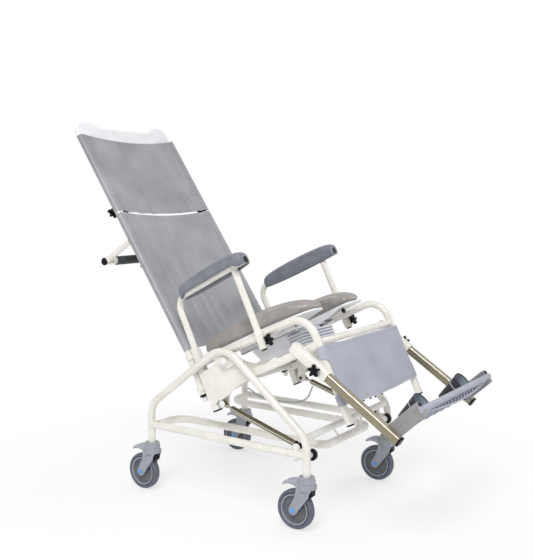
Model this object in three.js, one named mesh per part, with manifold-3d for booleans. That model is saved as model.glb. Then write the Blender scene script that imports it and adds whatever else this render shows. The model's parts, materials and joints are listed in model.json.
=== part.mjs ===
import * as THREE from 'three';
import { mergeVertices } from 'three/addons/utils/BufferGeometryUtils.js';
import Module from 'manifold-3d';

const wasm = await Module();
wasm.setup();

// driving sizes, mm and degrees
// x runs across the chair, y to the rear from the tilt pivot, z up from the floor.
// Seat parts use u forward along the seat and v square to it, both from the tilt pivot.
const centring = -10.66;
const pivotHeight = 491;
const seatTilt = 25.8;
const fit = 0.3;
const runningFit = 0.25;

const frameTube = { radius: 12.5, sides: 12, bendSteps: 5 };
const squareTube = 25;
const hoop = {
  planeX: 272.8, frontPostY: -317.6, rearPostY: 317.4, footZ: 166, frontKneeZ: 284, rearKneeZ: 304.8,
  apexRise: 55.4, kneeBend: 72, apexBend: 86, railZ: 234,
};
const gusset = { thickness: 6, middleX: 265, shoulderY: 52, topRise: 14, footHalf: 19, footDrop: 21 };
const pivotBoss = { radius: 15, innerX: 260, outerX: 279 };
const pivotPin = { radius: 6, innerX: 227, capRadius: 10.5, capRise: 6, nutRadius: 10, nutDepth: 6 };
const strutFoot = { y: -274.6, z: 252, lugRadius: 13, lugInnerX: 262, lugOuterX: 268, pinEndX: 236 };
const floorFrame = { z: 235, innerX: 150, rearY: 297.4, frontY: -308.6, rearBend: 65, frontBend: 40 };
const upperBar = { radius: 11, y: -309.6, z: 288, tieTopX: 110, tieFootX: 47, tieRadius: 3.5 };
const bumper = {
  y: -319.4, z: 236, discRadius: 11, outerRadius: 21, innerX: 246, outerX: 259.5, startAngle: -95,
  endAngle: 95, steps: 9,
};
const ballCap = { radius: 11, rise: 8 };
const lowerCap = { y: -278, z: 211 };
const cable = { radius: 3, sides: 6, steps: 26 };
// x, y and the share of the height from floor rail to pivot
const cableRoute = [
  [268, 298, 0.108949], [259, 268, 0.077821], [257.6, 240, 0.019455], [257.6, 120, -0.007782], [257.4, 60, 0.019455],
  [255, 12, 0.108949], [250, -8, 0.225681], [247, -18, 0.311284],
];

const caster = {
  trail: 38, wheelRadius: 62.5, treadWidth: 28, rimRadius: 50, rimWidth: 23, hubRadius: 15, webWidth: 9,
  hubWidth: 29, axleRadius: 5, sides: 32,
};
const stem = { upperRadius: 8, upperTop: 204, flangeRadius: 13, flangeZ: 163.2, lowerRadius: 5.5, lowerZ: 140 };
const fork = {
  housingRadius: 24, housingTop: 172, collarRadius: 21.5, housingLow: 133, legInner: 15.4, legThick: 5.4,
  hubRadius: 15, frontY: -17, frontLowZ: 118, rearY: 25, shoulderZ: 148, cupFloor: 162.6, cupRadius: 14.2,
  capRadius: 8, capRise: 3,
};
const pedal = {
  hingeY: 25.4, hingeZ: 146, tipY: 82, tipZ: 141, halfWidth: 14, tipHalf: 18, thick: 6, hump: 7, ribs: 4,
  ribDepth: 3,
};

const rail = { planeX: 244, v: 28, rearU: -105.2, calfU: 344, kneeBend: 68, calfEndV: -325 };
const lever = { u: -118, topV: 80, bottomV: -134, boreV: -48, boreRadius: 11.4 };
const beam = { v: -71 };
const sidePlate = { innerX: 229.5, thickness: 6, bossRadius: 14, bossOuterX: 259.5, strutHole: 9.5 };
const coverPlate = { innerX: 256.2, outerX: 259.5, capHole: 15.5 };
const coverOutline = [
  [-129, -3], [-96, 1], [-66, 3], [-40, 10], [-14, 17], [10, 15], [30, 0], [52, -28], [72, -57], [137, -58.5],
  [137, -83.5], [74, -83.5], [14, -90], [-58, -108], [-85, -112], [-129, -118],
];
const sidePlateOutline = [
  [-62, -4], [-40, 10], [-14, 17], [10, 15], [30, 0], [55, -26], [90, -46], [137, -58.5], [137, -83.5],
  [-40, -92], [-62, -106], [-70, -126], [-78, -136], [-92, -136], [-100, -124], [-95, -108], [-80, -84],
  [-70, -50],
];
const backClamp = { outerRadius: 14.5, height: 18, upperV: 62, lowerV: -48 };
const legAxis = {
  x: 280, footU: 497, footV: -413, runU: 512, runV: -859, rodSize: 25, socketSize: 31, socketTop: 425.5, socketEnd: 279.4,
};
const legLink = { u: 296, length: 26, height: 24, innerX: 250, outerX: 268 };
const legRod = { top: 399.5, capDepth: 5 };
const legKnobAt = 317;
const crossTube = { calfRadius: 11, calfV: -64, rearV: -62 };
const plug = { depth: 5, inset: 1.2 };

const knob = { lobeRadius: 20, valleyRadius: 11, lobes: 5, depth: 13, neckRadius: 7.5, neckLength: 7, studRadius: 3 };
const studHole = 3.5;

const arm = {
  tubeRadius: 11, sides: 10, rearX: 244, rearU: -120, frontX: 270, frontU: 168, topV: 262, bend: 46, tipU: 226,
  rearEndV: -36, frontEndV: -22, bootDepth: 4,
};
const armSocket = { outerRadius: 14.8, topV: 44, bottomV: -16, knobV: 3 };
const armPad = {
  rearU: -88, frontU: 229, outset: 7, endOutset: 1, bottomV: 264, innerV: 248, topV: 302, rearHalf: 22, frontHalf: 28,
  crown: 7,
};

const backTube = {
  x: 244.5, stubU: -153, radius: 11, sides: 12, bottomV: -73, leanV: 90, leanDegrees: 8.37, topS: 588,
  boreRadius: 9.4, boreDepth: 150, collarRadius: 13.5, collarDepth: 7, tipRadius: 9,
};
const headTube = { radius: 9, sides: 10, insert: 130 };
const headOutline = [
  [244.5, 893], [243, 916], [233, 935], [214, 946.5], [187, 949], [160, 938.5], [135, 927.5], [105, 922],
  [52, 921.5], [0, 922],
];
const headPanel = { thickness: 2, lowS: 852, inset: 12.5 };
const headKnobS = 571;
const pushBar = { armRadius: 10, startU: -228.5, v: 527, barU: -370, barV: 511, radius: 12.5, overhang: 7.5, plugDepth: 5 };
const pushGrip = { radius: 16, half: 198, ridge: 1.2, ridges: 8 };

const cloth = { thickness: 1.8, gap: 1, wrapDegrees: 116, wrapSteps: 5 };
const lowSling = { bottomS: -2, topS: 550, topDip: 14, sag: 27, rows: 8, columns: 10 };
const headSling = { bottomS: 558, bottomDip: 13, topS: 890, topDip: 22, sag: 8, rows: 6, columns: 10 };
const calfSling = { topV: -88, bottomV: -266, bottomDip: 10, sag: 12, rows: 10, columns: 8, midWrap: 56, hemShare: 0.14 };

// Front tip to rear centre: inner edge x, u, outer edge x, u, and the share of full height.
const cushionTable = [
  [100, 316, 136, 320, 0.16], [84, 309, 158, 314, 0.36], [77, 292, 174, 297, 0.54], [77, 262, 188, 268, 0.76],
  [84, 220, 204, 225, 0.9], [94, 165, 219, 170, 0.98], [99, 110, 226, 105, 1], [98, 62, 228, 30, 0.98],
  [86, 20, 227, -50, 0.94], [62, -8, 216, -104, 0.86], [30, -22, 150, -130, 0.8], [0, -26, 0, -130, 0.78],
];
const cushion = { bottomV: 47.2, topV: 109, tuck: 7, shoulderShare: 0.66, edgeShare: 0.3 };
const ring = { bottomV: 40.4, topV: 46.8, overhang: 16, lipBottomV: 22, lipThick: 4 };
const runner = { webX: 121, web: 4, ledgeX: 105, ledgeV: 10, ledge: 4, rearU: -36, frontU: 205 };
const pan = {
  rearU: -40, frontU: 190, flangeHalf: 119.5, flangeV: 15, flange: 4, half: 98, wall: 3, bottomV: -30, corner: 60,
  draft: 0.86, steps: 6,
};
const panGrip = { rearU: 150, frontU: 207, half: 104, topV: 2, bottomV: -46, noseDrop: 12, ribs: 3, ribDepth: 3.5 };

const footplate = {
  heelU: 491, heelV: -382, tilt: 17, length: 100, half: 262, thickness: 11, ribDepth: 5, ribs: 9, cheekThick: 16,
  cheekHigh: 25, cheekLow: 22, cheekHeel: 11, cheekToe: 8, cheekCorner: 8, cheekX: 268.2, pinRadius: 6, tubeRadius: 9, tubeHalf: 276,
};
const heelStrap = {
  x: 150, half: 37, thickness: 4, toeA: 70, toeRise: 60, heelA: 6, heelLean: 26, heelRise: 42, steps: 10,
};

const strut = {
  planeX: 246, bodyRadius: 10, bodyStart: 34, bodyLength: 252, boreRadius: 5.4, rodRadius: 5, eyeRadius: 10,
  eyeWidth: 14, eyeBore: 6.4, bootRadius: 11.4, bootLength: 8, pinU: -85, pinV: -123, capRadius: 12, capRise: 7,
  pinRadius: 6, rodInserted: 150,
};

// solid building helpers
const V = (x, y, z) => new THREE.Vector3(x, y, z);
const radians = THREE.MathUtils.degToRad;

function indexed(positions, triangles) {
  const geometry = new THREE.BufferGeometry();
  geometry.setAttribute('position', new THREE.Float32BufferAttribute(positions.flatMap((p) => [p.x, p.y, p.z]), 3));
  geometry.setIndex(triangles);
  return geometry;
}

function enclosedVolume(positions, triangles) {
  let sum = 0;
  const crossed = V(0, 0, 0);
  for (let i = 0; i < triangles.length; i += 3) {
    crossed.crossVectors(positions[triangles[i + 1]], positions[triangles[i + 2]]);
    sum += positions[triangles[i]].dot(crossed);
  }
  return sum;
}

function outward(positions, triangles) {
  if (enclosedVolume(positions, triangles) >= 0) return indexed(positions, triangles);
  const flipped = [];
  for (let i = 0; i < triangles.length; i += 3) flipped.push(triangles[i], triangles[i + 2], triangles[i + 1]);
  return indexed(positions, flipped);
}

function capTriangles(ringPoints) {
  const normal = V(0, 0, 0);
  const count = ringPoints.length;
  ringPoints.forEach((p, i) => normal.add(V(0, 0, 0).crossVectors(p, ringPoints[(i + 1) % count])));
  normal.normalize();
  const across = V(0, 0, 0).subVectors(ringPoints[1], ringPoints[0]).normalize();
  const along = V(0, 0, 0).crossVectors(normal, across);
  const flat = ringPoints.map((p) => new THREE.Vector2(p.dot(across), p.dot(along)));
  return THREE.ShapeUtils.triangulateShape(flat, []).map(([a, b, c]) => {
    const turn = (flat[b].x - flat[a].x) * (flat[c].y - flat[a].y) - (flat[b].y - flat[a].y) * (flat[c].x - flat[a].x);
    return turn >= 0 ? [a, b, c] : [a, c, b];
  });
}

// Skins a row of rings that all have the same number of points, and closes it.
function loft(rings, joined = false) {
  const count = rings[0].length;
  const positions = rings.flat();
  const triangles = [];
  const spans = joined ? rings.length : rings.length - 1;
  for (let i = 0; i < spans; i += 1) {
    const here = i * count;
    const next = ((i + 1) % rings.length) * count;
    for (let k = 0; k < count; k += 1) {
      const m = (k + 1) % count;
      triangles.push(here + k, here + m, next + m, here + k, next + m, next + k);
    }
  }
  if (!joined) {
    const last = (rings.length - 1) * count;
    capTriangles(rings[0]).forEach(([a, b, c]) => triangles.push(a, c, b));
    capTriangles(rings[rings.length - 1]).forEach(([a, b, c]) => triangles.push(last + a, last + b, last + c));
  }
  return outward(positions, triangles);
}

function circle(radius, sides) {
  return Array.from({ length: sides }, (_, i) => {
    const angle = ((i + 1 / 2) * 2 * Math.PI) / sides;
    return [radius * Math.cos(angle), radius * Math.sin(angle)];
  });
}

function rectangle(width, height) {
  return [[-width / 2, -height / 2], [width / 2, -height / 2], [width / 2, height / 2], [-width / 2, height / 2]];
}

// Points and directions along a polyline whose corners are rounded.
function rounded(corners, bends, steps) {
  const stations = [];
  const first = V(0, 0, 0).subVectors(corners[1], corners[0]).normalize();
  stations.push({ at: corners[0], along: first });
  for (let i = 1; i < corners.length - 1; i += 1) {
    const into = V(0, 0, 0).subVectors(corners[i], corners[i - 1]).normalize();
    const out = V(0, 0, 0).subVectors(corners[i + 1], corners[i]).normalize();
    const turn = Math.acos(THREE.MathUtils.clamp(into.dot(out), -1, 1));
    const bend = Array.isArray(bends) ? bends[i - 1] : bends;
    const reach = bend * Math.tan(turn / 2);
    const start = corners[i].clone().addScaledVector(into, -reach);
    const toCentre = out.clone().addScaledVector(into, -into.dot(out)).normalize();
    const centre = start.clone().addScaledVector(toCentre, bend);
    for (let k = 0; k <= steps; k += 1) {
      const angle = (turn * k) / steps;
      const at = centre.clone().addScaledVector(toCentre, -bend * Math.cos(angle));
      at.addScaledVector(into, bend * Math.sin(angle));
      const along = into.clone().multiplyScalar(Math.cos(angle)).addScaledVector(toCentre, Math.sin(angle));
      stations.push({ at, along });
    }
  }
  const end = corners[corners.length - 1];
  stations.push({ at: end, along: V(0, 0, 0).subVectors(end, corners[corners.length - 2]).normalize() });
  return stations;
}

function smoothPath(points, steps) {
  const curve = new THREE.CatmullRomCurve3(points);
  return Array.from({ length: steps + 1 }, (_, i) => {
    return { at: curve.getPoint(i / steps), along: curve.getTangent(i / steps).normalize() };
  });
}

// Carries a profile along stations; the side direction stays close to the given one.
function sweep(profile, stations, side) {
  let across = side.clone();
  return loft(stations.map(({ at, along }) => {
    across = across.clone().addScaledVector(along, -across.dot(along)).normalize();
    const up = V(0, 0, 0).crossVectors(across, along);
    return profile.map(([a, b]) => at.clone().addScaledVector(across, a).addScaledVector(up, b));
  }));
}

function bar(profile, from, to, side) {
  const along = V(0, 0, 0).subVectors(to, from).normalize();
  return sweep(profile, [{ at: from, along }, { at: to, along }], side);
}

function roundBar(radius, from, to, sides) {
  const along = V(0, 0, 0).subVectors(to, from);
  const side = Math.abs(along.x) > Math.hypot(along.y, along.z) ? V(0, 0, 1) : V(1, 0, 0);
  return bar(circle(radius, sides), from, to, side);
}

// A turned solid: pairs of radius and distance along the axis from the origin point.
function turned(steps, origin, axis, sides) {
  const along = axis.clone().normalize();
  const helper = Math.abs(along.x) > 1 / 2 ? V(0, 0, 1) : V(1, 0, 0);
  const across = helper.addScaledVector(along, -helper.dot(along)).normalize();
  const up = V(0, 0, 0).crossVectors(along, across);
  return loft(steps.map(([radius, height]) => circle(radius, sides).map(([a, b]) => {
    return origin.clone().addScaledVector(along, height).addScaledVector(across, a).addScaledVector(up, b);
  })));
}

// A hoop made by turning a closed profile of radius and height pairs.
function turnedHoop(profile, origin, axis, sides) {
  const along = axis.clone().normalize();
  const helper = Math.abs(along.x) > 1 / 2 ? V(0, 0, 1) : V(1, 0, 0);
  const across = helper.addScaledVector(along, -helper.dot(along)).normalize();
  const up = V(0, 0, 0).crossVectors(along, across);
  return loft(Array.from({ length: sides }, (_, i) => {
    const angle = ((i + 1 / 2) * 2 * Math.PI) / sides;
    const out = across.clone().multiplyScalar(Math.cos(angle)).addScaledVector(up, Math.sin(angle));
    return profile.map(([radius, height]) => {
      return origin.clone().addScaledVector(along, height).addScaledVector(out, radius);
    });
  }), true);
}

// A flat plate from an outline drawn in two directions, thickened along x.
function plateAcrossX(outline, place, fromX, toX) {
  return loft([fromX, toX].map((x) => outline.map(([a, b]) => place(x, a, b))));
}

// Domed cap whose flat side sits on the origin.
function dome(radius, rise, origin, axis, sides = frameTube.sides) {
  const steps = [0, 1, 2, 3].map((k) => {
    const angle = (k * Math.PI) / 7;
    return [radius * Math.cos(angle), (rise * Math.sin(angle)) / Math.sin((3 * Math.PI) / 7)];
  });
  return turned(steps, origin, axis, sides);
}

function toManifold(geometry) {
  const bare = geometry.clone();
  bare.deleteAttribute('normal');
  bare.deleteAttribute('uv');
  const merged = mergeVertices(bare);
  const mesh = new wasm.Mesh({
    numProp: 3, vertProperties: new Float32Array(merged.attributes.position.array),
    triVerts: new Uint32Array(merged.index.array),
  });
  return new wasm.Manifold(mesh);
}

function fromManifold(solid) {
  const mesh = solid.getMesh();
  const geometry = new THREE.BufferGeometry();
  geometry.setAttribute('position', new THREE.BufferAttribute(new Float32Array(mesh.vertProperties), 3));
  geometry.setIndex(new THREE.BufferAttribute(new Uint32Array(mesh.triVerts), 1));
  return geometry;
}

function fuse(pieces, holes = []) {
  const whole = pieces.map(toManifold).reduce((sum, next) => sum.add(next));
  return fromManifold(holes.map(toManifold).reduce((sum, next) => sum.subtract(next), whole));
}

// Closed cloth from a grid of points: rows of equal length, thickened on the side away from the back.
function thickSheet(grid, thickness, backward) {
  const rows = grid.length;
  const columns = grid[0].length;
  const front = grid.flat();
  const back = grid.flatMap((row, r) => row.map((point, c) => {
    const left = row[Math.max(c - 1, 0)];
    const right = row[Math.min(c + 1, columns - 1)];
    const below = grid[Math.max(r - 1, 0)][c];
    const above = grid[Math.min(r + 1, rows - 1)][c];
    const normal = V(0, 0, 0).subVectors(right, left).cross(V(0, 0, 0).subVectors(above, below)).normalize();
    return point.clone().addScaledVector(normal, thickness * backward);
  }));
  const positions = [...front, ...back];
  const shift = front.length;
  const triangles = [];
  const quad = (a, b, c, d) => triangles.push(a, b, c, a, c, d);
  const id = (r, c) => r * columns + c;
  for (let r = 0; r < rows - 1; r += 1) {
    for (let c = 0; c < columns - 1; c += 1) {
      quad(id(r, c), id(r, c + 1), id(r + 1, c + 1), id(r + 1, c));
      quad(shift + id(r, c), shift + id(r + 1, c), shift + id(r + 1, c + 1), shift + id(r, c + 1));
    }
  }
  for (let c = 0; c < columns - 1; c += 1) {
    quad(id(0, c + 1), id(0, c), shift + id(0, c), shift + id(0, c + 1));
    quad(id(rows - 1, c), id(rows - 1, c + 1), shift + id(rows - 1, c + 1), shift + id(rows - 1, c));
  }
  for (let r = 0; r < rows - 1; r += 1) {
    quad(id(r, 0), id(r + 1, 0), shift + id(r + 1, 0), shift + id(r, 0));
    quad(id(r + 1, columns - 1), id(r, columns - 1), shift + id(r, columns - 1), shift + id(r + 1, columns - 1));
  }
  return outward(positions, triangles);
}

// assembly and materials
const assembly = new THREE.Group();
assembly.name = 'shower_commode_chair';
assembly.position.y = centring;
const seatGroup = new THREE.Group();
seatGroup.name = 'seat_group';
seatGroup.position.z = pivotHeight;
seatGroup.rotation.x = -radians(seatTilt);
assembly.add(seatGroup);

const finishes = {
  enamel: [0xe9e6de, 0.42, 0.1], grey: [0x8c909c, 0.55, 0], tread: [0x74808c, 0.85, 0], pale: [0xc3c7cf, 0.5, 0],
  black: [0x16171a, 0.5, 0], white: [0xf1f2f4, 0.35, 0], steel: [0xb9b2a2, 0.25, 0.9], bronze: [0xb09a78, 0.35, 0.8],
  slate: [0x565d68, 0.7, 0], taupe: [0x9a9088, 0.75, 0], vinyl: [0x5d6068, 0.7, 0], lilac: [0x8e90a4, 0.65, 0],
  pan: [0xb4bccb, 0.45, 0], plate: [0x9b9aa8, 0.6, 0],
};

function addNode(parent, name, finish, geometry) {
  const [color, roughness, metalness] = finishes[finish];
  geometry.computeVertexNormals();
  const mesh = new THREE.Mesh(geometry, new THREE.MeshStandardMaterial({ color, roughness, metalness }));
  mesh.name = name;
  parent.add(mesh);
}

const seat = (x, u, v) => V(x, -u, v);
const sides = [['right', -1], ['left', 1]];
const tubeProfile = circle(frameTube.radius, frameTube.sides);
const X = V(1, 0, 0);
const Y = V(0, 1, 0);
const Z = V(0, 0, 1);

// base frame
function sideFrame(sign) {
  const x = sign * hoop.planeX;
  const shoulderZ = pivotHeight + gusset.topRise;
  const gussetLow = pivotHeight - gusset.footDrop;
  const corners = [
    V(x, hoop.frontPostY, hoop.footZ), V(x, hoop.frontPostY, hoop.frontKneeZ), V(x, 0, pivotHeight + hoop.apexRise),
    V(x, hoop.rearPostY, hoop.rearKneeZ), V(x, hoop.rearPostY, hoop.footZ),
  ];
  const bends = [hoop.kneeBend, hoop.apexBend, hoop.kneeBend];
  const tube = sweep(tubeProfile, rounded(corners, bends, frameTube.bendSteps), X);
  const low = bar(tubeProfile, V(x, hoop.frontPostY, hoop.railZ), V(x, hoop.rearPostY, hoop.railZ), X);
  const outline = [
    [-gusset.shoulderY, shoulderZ], [-gusset.footHalf, gussetLow], [gusset.footHalf, gussetLow],
    [gusset.shoulderY, shoulderZ], [0, shoulderZ + gusset.footHalf],
  ];
  const half = gusset.thickness / 2;
  const web = plateAcrossX(outline, V, sign * (gusset.middleX - half), sign * (gusset.middleX + half));
  const bossFrom = V(sign * pivotBoss.innerX, 0, pivotHeight);
  const boss = roundBar(pivotBoss.radius, bossFrom, V(sign * pivotBoss.outerX, 0, pivotHeight), frameTube.sides);
  const disc = roundBar(
    bumper.discRadius, V(sign * bumper.innerX, bumper.y, bumper.z), V(x, bumper.y, bumper.z), caster.sides / 2,
  );
  const lug = roundBar(
    strutFoot.lugRadius, V(sign * strutFoot.lugInnerX, strutFoot.y, strutFoot.z),
    V(sign * strutFoot.lugOuterX, strutFoot.y, strutFoot.z), frameTube.sides,
  );
  const pin = roundBar(
    strut.pinRadius, V(sign * strutFoot.pinEndX, strutFoot.y, strutFoot.z),
    V(sign * strutFoot.lugOuterX, strutFoot.y, strutFoot.z), frameTube.sides,
  );
  const pinHole = roundBar(
    pivotPin.radius + runningFit, V(sign * (pivotBoss.innerX - fit), 0, pivotHeight),
    V(sign * (pivotBoss.outerX + fit), 0, pivotHeight), frameTube.sides + 4,
  );
  const capHole = roundBar(
    pivotPin.capRadius + runningFit, V(sign * pivotBoss.outerX, 0, pivotHeight),
    V(sign * (pivotBoss.outerX + squareTube), 0, pivotHeight), frameTube.sides + 4,
  );
  const stemSteps = [
    [stem.lowerRadius, stem.lowerZ], [stem.lowerRadius, stem.flangeZ], [stem.flangeRadius, stem.flangeZ],
    [stem.flangeRadius, hoop.footZ], [stem.lowerRadius, hoop.footZ + stem.lowerRadius],
  ];
  const stems = [hoop.frontPostY, hoop.rearPostY].map((y) => turned(stemSteps, V(x, y, 0), Z, frameTube.sides));
  const caps = [
    dome(ballCap.radius, ballCap.rise, V(sign * (strutFoot.lugOuterX - fit), strutFoot.y, strutFoot.z), V(sign, 0, 0)),
    dome(ballCap.radius, ballCap.rise * 2, V(x, lowerCap.y, lowerCap.z + ballCap.rise * 2), V(0, 0, -1)),
  ];
  return fuse([tube, low, web, boss, disc, lug, pin, ...stems, ...caps], [pinHole, capHole]);
}

function floorFrameSolid() {
  const endX = hoop.planeX - frameTube.radius - fit;
  const corners = [
    V(-endX, floorFrame.rearY, floorFrame.z), V(-floorFrame.innerX, floorFrame.rearY, floorFrame.z),
    V(-floorFrame.innerX, floorFrame.frontY, floorFrame.z), V(floorFrame.innerX, floorFrame.frontY, floorFrame.z),
    V(floorFrame.innerX, floorFrame.rearY, floorFrame.z), V(endX, floorFrame.rearY, floorFrame.z),
  ];
  const bends = [floorFrame.rearBend, floorFrame.frontBend, floorFrame.frontBend, floorFrame.rearBend];
  const loop = sweep(tubeProfile, rounded(corners, bends, frameTube.bendSteps), Z);
  const upper = roundBar(upperBar.radius, V(-endX, upperBar.y, upperBar.z), V(endX, upperBar.y, upperBar.z), frameTube.sides);
  const ties = sides.map(([, sign]) => roundBar(
    upperBar.tieRadius, V(sign * upperBar.tieTopX, upperBar.y, upperBar.z),
    V(sign * upperBar.tieFootX, floorFrame.frontY, floorFrame.z), frameTube.sides / 2,
  ));
  return fuse([loop, upper, ...ties]);
}

function tiltPivotPin(sign) {
  const outer = pivotBoss.outerX + fit;
  const nutStart = sidePlate.innerX - fit;
  const steps = [
    [pivotPin.nutRadius, nutStart - pivotPin.nutDepth], [pivotPin.nutRadius, nutStart],
    [pivotPin.radius, nutStart], [pivotPin.radius, outer], [pivotPin.capRadius, outer],
    [pivotPin.capRadius * Math.cos(Math.PI / 6), outer + pivotPin.capRise * Math.sin(Math.PI / 3)],
    [pivotPin.capRadius / 2, outer + pivotPin.capRise],
  ];
  return turned(steps, V(0, 0, pivotHeight), V(sign, 0, 0), frameTube.sides);
}

function bumperRubber(sign) {
  const low = bumper.discRadius + fit * 2;
  return loft(Array.from({ length: bumper.steps + 1 }, (_, i) => {
    const angle = radians(bumper.startAngle + (i / bumper.steps) * (bumper.endAngle - bumper.startAngle));
    const at = (radius, x) => V(
      sign * x, bumper.y - radius * Math.cos(angle), bumper.z + radius * Math.sin(angle),
    );
    return [
      at(low, bumper.innerX), at(bumper.outerRadius, bumper.innerX), at(bumper.outerRadius, bumper.outerX),
      at(low, bumper.outerX),
    ];
  }));
}

function casterPlaces() {
  return sides.flatMap(([name, sign]) => [
    { name: `front_${name}`, x: sign * hoop.planeX, y: hoop.frontPostY, out: sign },
    { name: `rear_${name}`, x: sign * hoop.planeX, y: hoop.rearPostY, out: sign },
  ]);
}

function releaseCable() {
  const points = cableRoute.map(([x, y, share]) => V(x, y, hoop.railZ + share * (pivotHeight - hoop.railZ)));
  return sweep(circle(cable.radius, cable.sides), smoothPath(points, cable.steps), X);
}

// casters
function casterFork({ x, y }) {
  const at = (dx, dy, z) => V(x + dx, y + dy, z);
  const hub = caster.trail;
  const arc = [0, 1, 2, 3, 4, 5].map((k) => {
    const angle = Math.PI + (k * Math.PI) / 5;
    return [hub - fork.hubRadius * Math.cos(angle) * -1, caster.wheelRadius + fork.hubRadius * Math.sin(angle)];
  });
  const outline = [
    [fork.frontY, fork.shoulderZ], [fork.frontY, fork.frontLowZ], ...arc, [fork.rearY, fork.housingLow],
    [fork.rearY, fork.shoulderZ],
  ];
  const outer = fork.legInner + fork.legThick;
  const legs = [-1, 1].map((s) => plateAcrossX(outline, at, s * fork.legInner, s * outer));
  const bridge = plateAcrossX(
    [[fork.frontY, fork.housingLow], [fork.rearY, fork.housingLow], [fork.rearY, fork.shoulderZ],
      [fork.frontY, fork.shoulderZ]],
    at, -outer, outer,
  );
  const housing = turned([
    [fork.housingRadius, fork.housingLow + fit], [fork.housingRadius, (fork.shoulderZ + fork.housingTop) / 2],
    [fork.collarRadius, (fork.shoulderZ + fork.housingTop) / 2], [fork.collarRadius, fork.housingTop],
  ], V(x, y, 0), Z, caster.sides / 2);
  const axle = turned([
    [fork.capRadius - fork.capRise, -outer - fork.capRise], [fork.capRadius, -outer],
    [caster.axleRadius, -outer + fit], [caster.axleRadius, outer - fit],
    [fork.capRadius, outer], [fork.capRadius - fork.capRise, outer + fork.capRise],
  ], at(0, hub, caster.wheelRadius), X, frameTube.sides);
  const bore = roundBar(
    stem.lowerRadius + fit * 2, at(0, 0, stem.lowerZ - fit * 2), at(0, 0, fork.housingTop + fit), frameTube.sides,
  );
  const cup = roundBar(fork.cupRadius, at(0, 0, fork.cupFloor), at(0, 0, fork.housingTop + fit), caster.sides / 2);
  return fuse([...legs, bridge, housing, axle], [bore, cup]);
}

function casterWheel({ x, y }) {
  const rim = caster.rimWidth / 2;
  const web = caster.webWidth / 2;
  const hub = caster.hubWidth / 2;
  const bore = caster.axleRadius + fit * 2;
  const lip = caster.rimRadius - rim / 2;
  const profile = [
    [bore, -hub], [caster.hubRadius, -hub], [caster.hubRadius + rim / 2, -web], [lip, -web],
    [caster.rimRadius, -rim], [caster.rimRadius, rim], [lip, web], [caster.hubRadius + rim / 2, web],
    [caster.hubRadius, hub], [bore, hub],
  ];
  return turnedHoop(profile, V(x, y + caster.trail, caster.wheelRadius), X, caster.sides / 2);
}

function casterTyre({ x, y }) {
  const half = caster.treadWidth / 2;
  const inner = caster.rimRadius + fit;
  const flatShare = Math.cos(Math.PI / caster.sides);
  const outer = caster.wheelRadius / flatShare;
  const profile = [
    [inner, -half + half / 3], [outer - half / 2, -half], [outer, -half / 2],
    [outer, half / 2], [outer - half / 2, half], [inner, half - half / 3],
  ];
  return turnedHoop(profile, V(x, y + caster.trail, caster.wheelRadius), X, caster.sides);
}

function brakePedal({ x, y }) {
  const p = pedal;
  const top = [];
  const under = [];
  const steps = p.ribs * 2;
  for (let i = 0; i <= steps; i += 1) {
    const share = i / steps;
    const run = p.hingeY + (p.tipY - p.hingeY) * share;
    const fall = p.hingeZ + (p.tipZ - p.hingeZ) * share + p.hump * Math.sin(Math.PI * share);
    const half = p.halfWidth + (p.tipHalf - p.halfWidth) * Math.sin((Math.PI * share) / 2) - (share === 1 ? p.ribDepth : 0);
    const thin = p.thick * (1 - share / 2) + (i % 2 && share > 1 / 2 ? p.ribDepth : 0);
    top.push([run, fall, half]);
    under.push([run, fall - thin, half]);
  }
  const rings = top.map(([run, z, half], i) => [
    V(x - half, y + run, under[i][1]), V(x + half, y + run, under[i][1]), V(x + half, y + run, z - p.ribDepth / 2),
    V(x + half - p.ribDepth, y + run, z), V(x - half + p.ribDepth, y + run, z), V(x - half, y + run, z - p.ribDepth / 2),
  ]);
  return loft(rings);
}

// seat frame
function armAxis(u) {
  const share = (u - arm.rearU) / (arm.frontU - arm.rearU);
  return arm.rearX + share * (arm.frontX - arm.rearX);
}

function seatRail(sign) {
  const x = sign * rail.planeX;
  const corners = [seat(x, rail.rearU, rail.v), seat(x, rail.calfU, rail.v), seat(x, rail.calfU, rail.calfEndV)];
  const tube = sweep(tubeProfile, rounded(corners, rail.kneeBend, frameTube.bendSteps + 1), X);
  const ax = sign * arm.frontX;
  const socketSides = frameTube.sides + 2;
  const socket = roundBar(
    armSocket.outerRadius, seat(ax, arm.frontU, armSocket.bottomV), seat(ax, arm.frontU, armSocket.topV), socketSides,
  );
  const bore = roundBar(
    arm.tubeRadius + fit, seat(ax, arm.frontU, armSocket.bottomV - fit), seat(ax, arm.frontU, armSocket.topV + fit),
    socketSides,
  );
  const hole = roundBar(
    studHole, seat(ax, arm.frontU, armSocket.knobV), seat(ax, arm.frontU + armSocket.outerRadius * 2, armSocket.knobV),
    frameTube.sides / 2,
  );
  const boot = roundBar(
    frameTube.radius - plug.inset / 2, seat(x, rail.calfU, rail.calfEndV + plug.depth),
    seat(x, rail.calfU, rail.calfEndV - plug.depth), frameTube.sides,
  );
  return fuse([tube, socket, boot], [bore, hole]);
}

// Points on the axis of the sliding leg rod, measured back from its foot end.
function legPoint(sign, distance, x = legAxis.x) {
  const along = seat(0, legAxis.runU, legAxis.runV).normalize();
  return seat(sign * x, legAxis.footU, legAxis.footV).addScaledVector(along, -distance);
}

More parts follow.
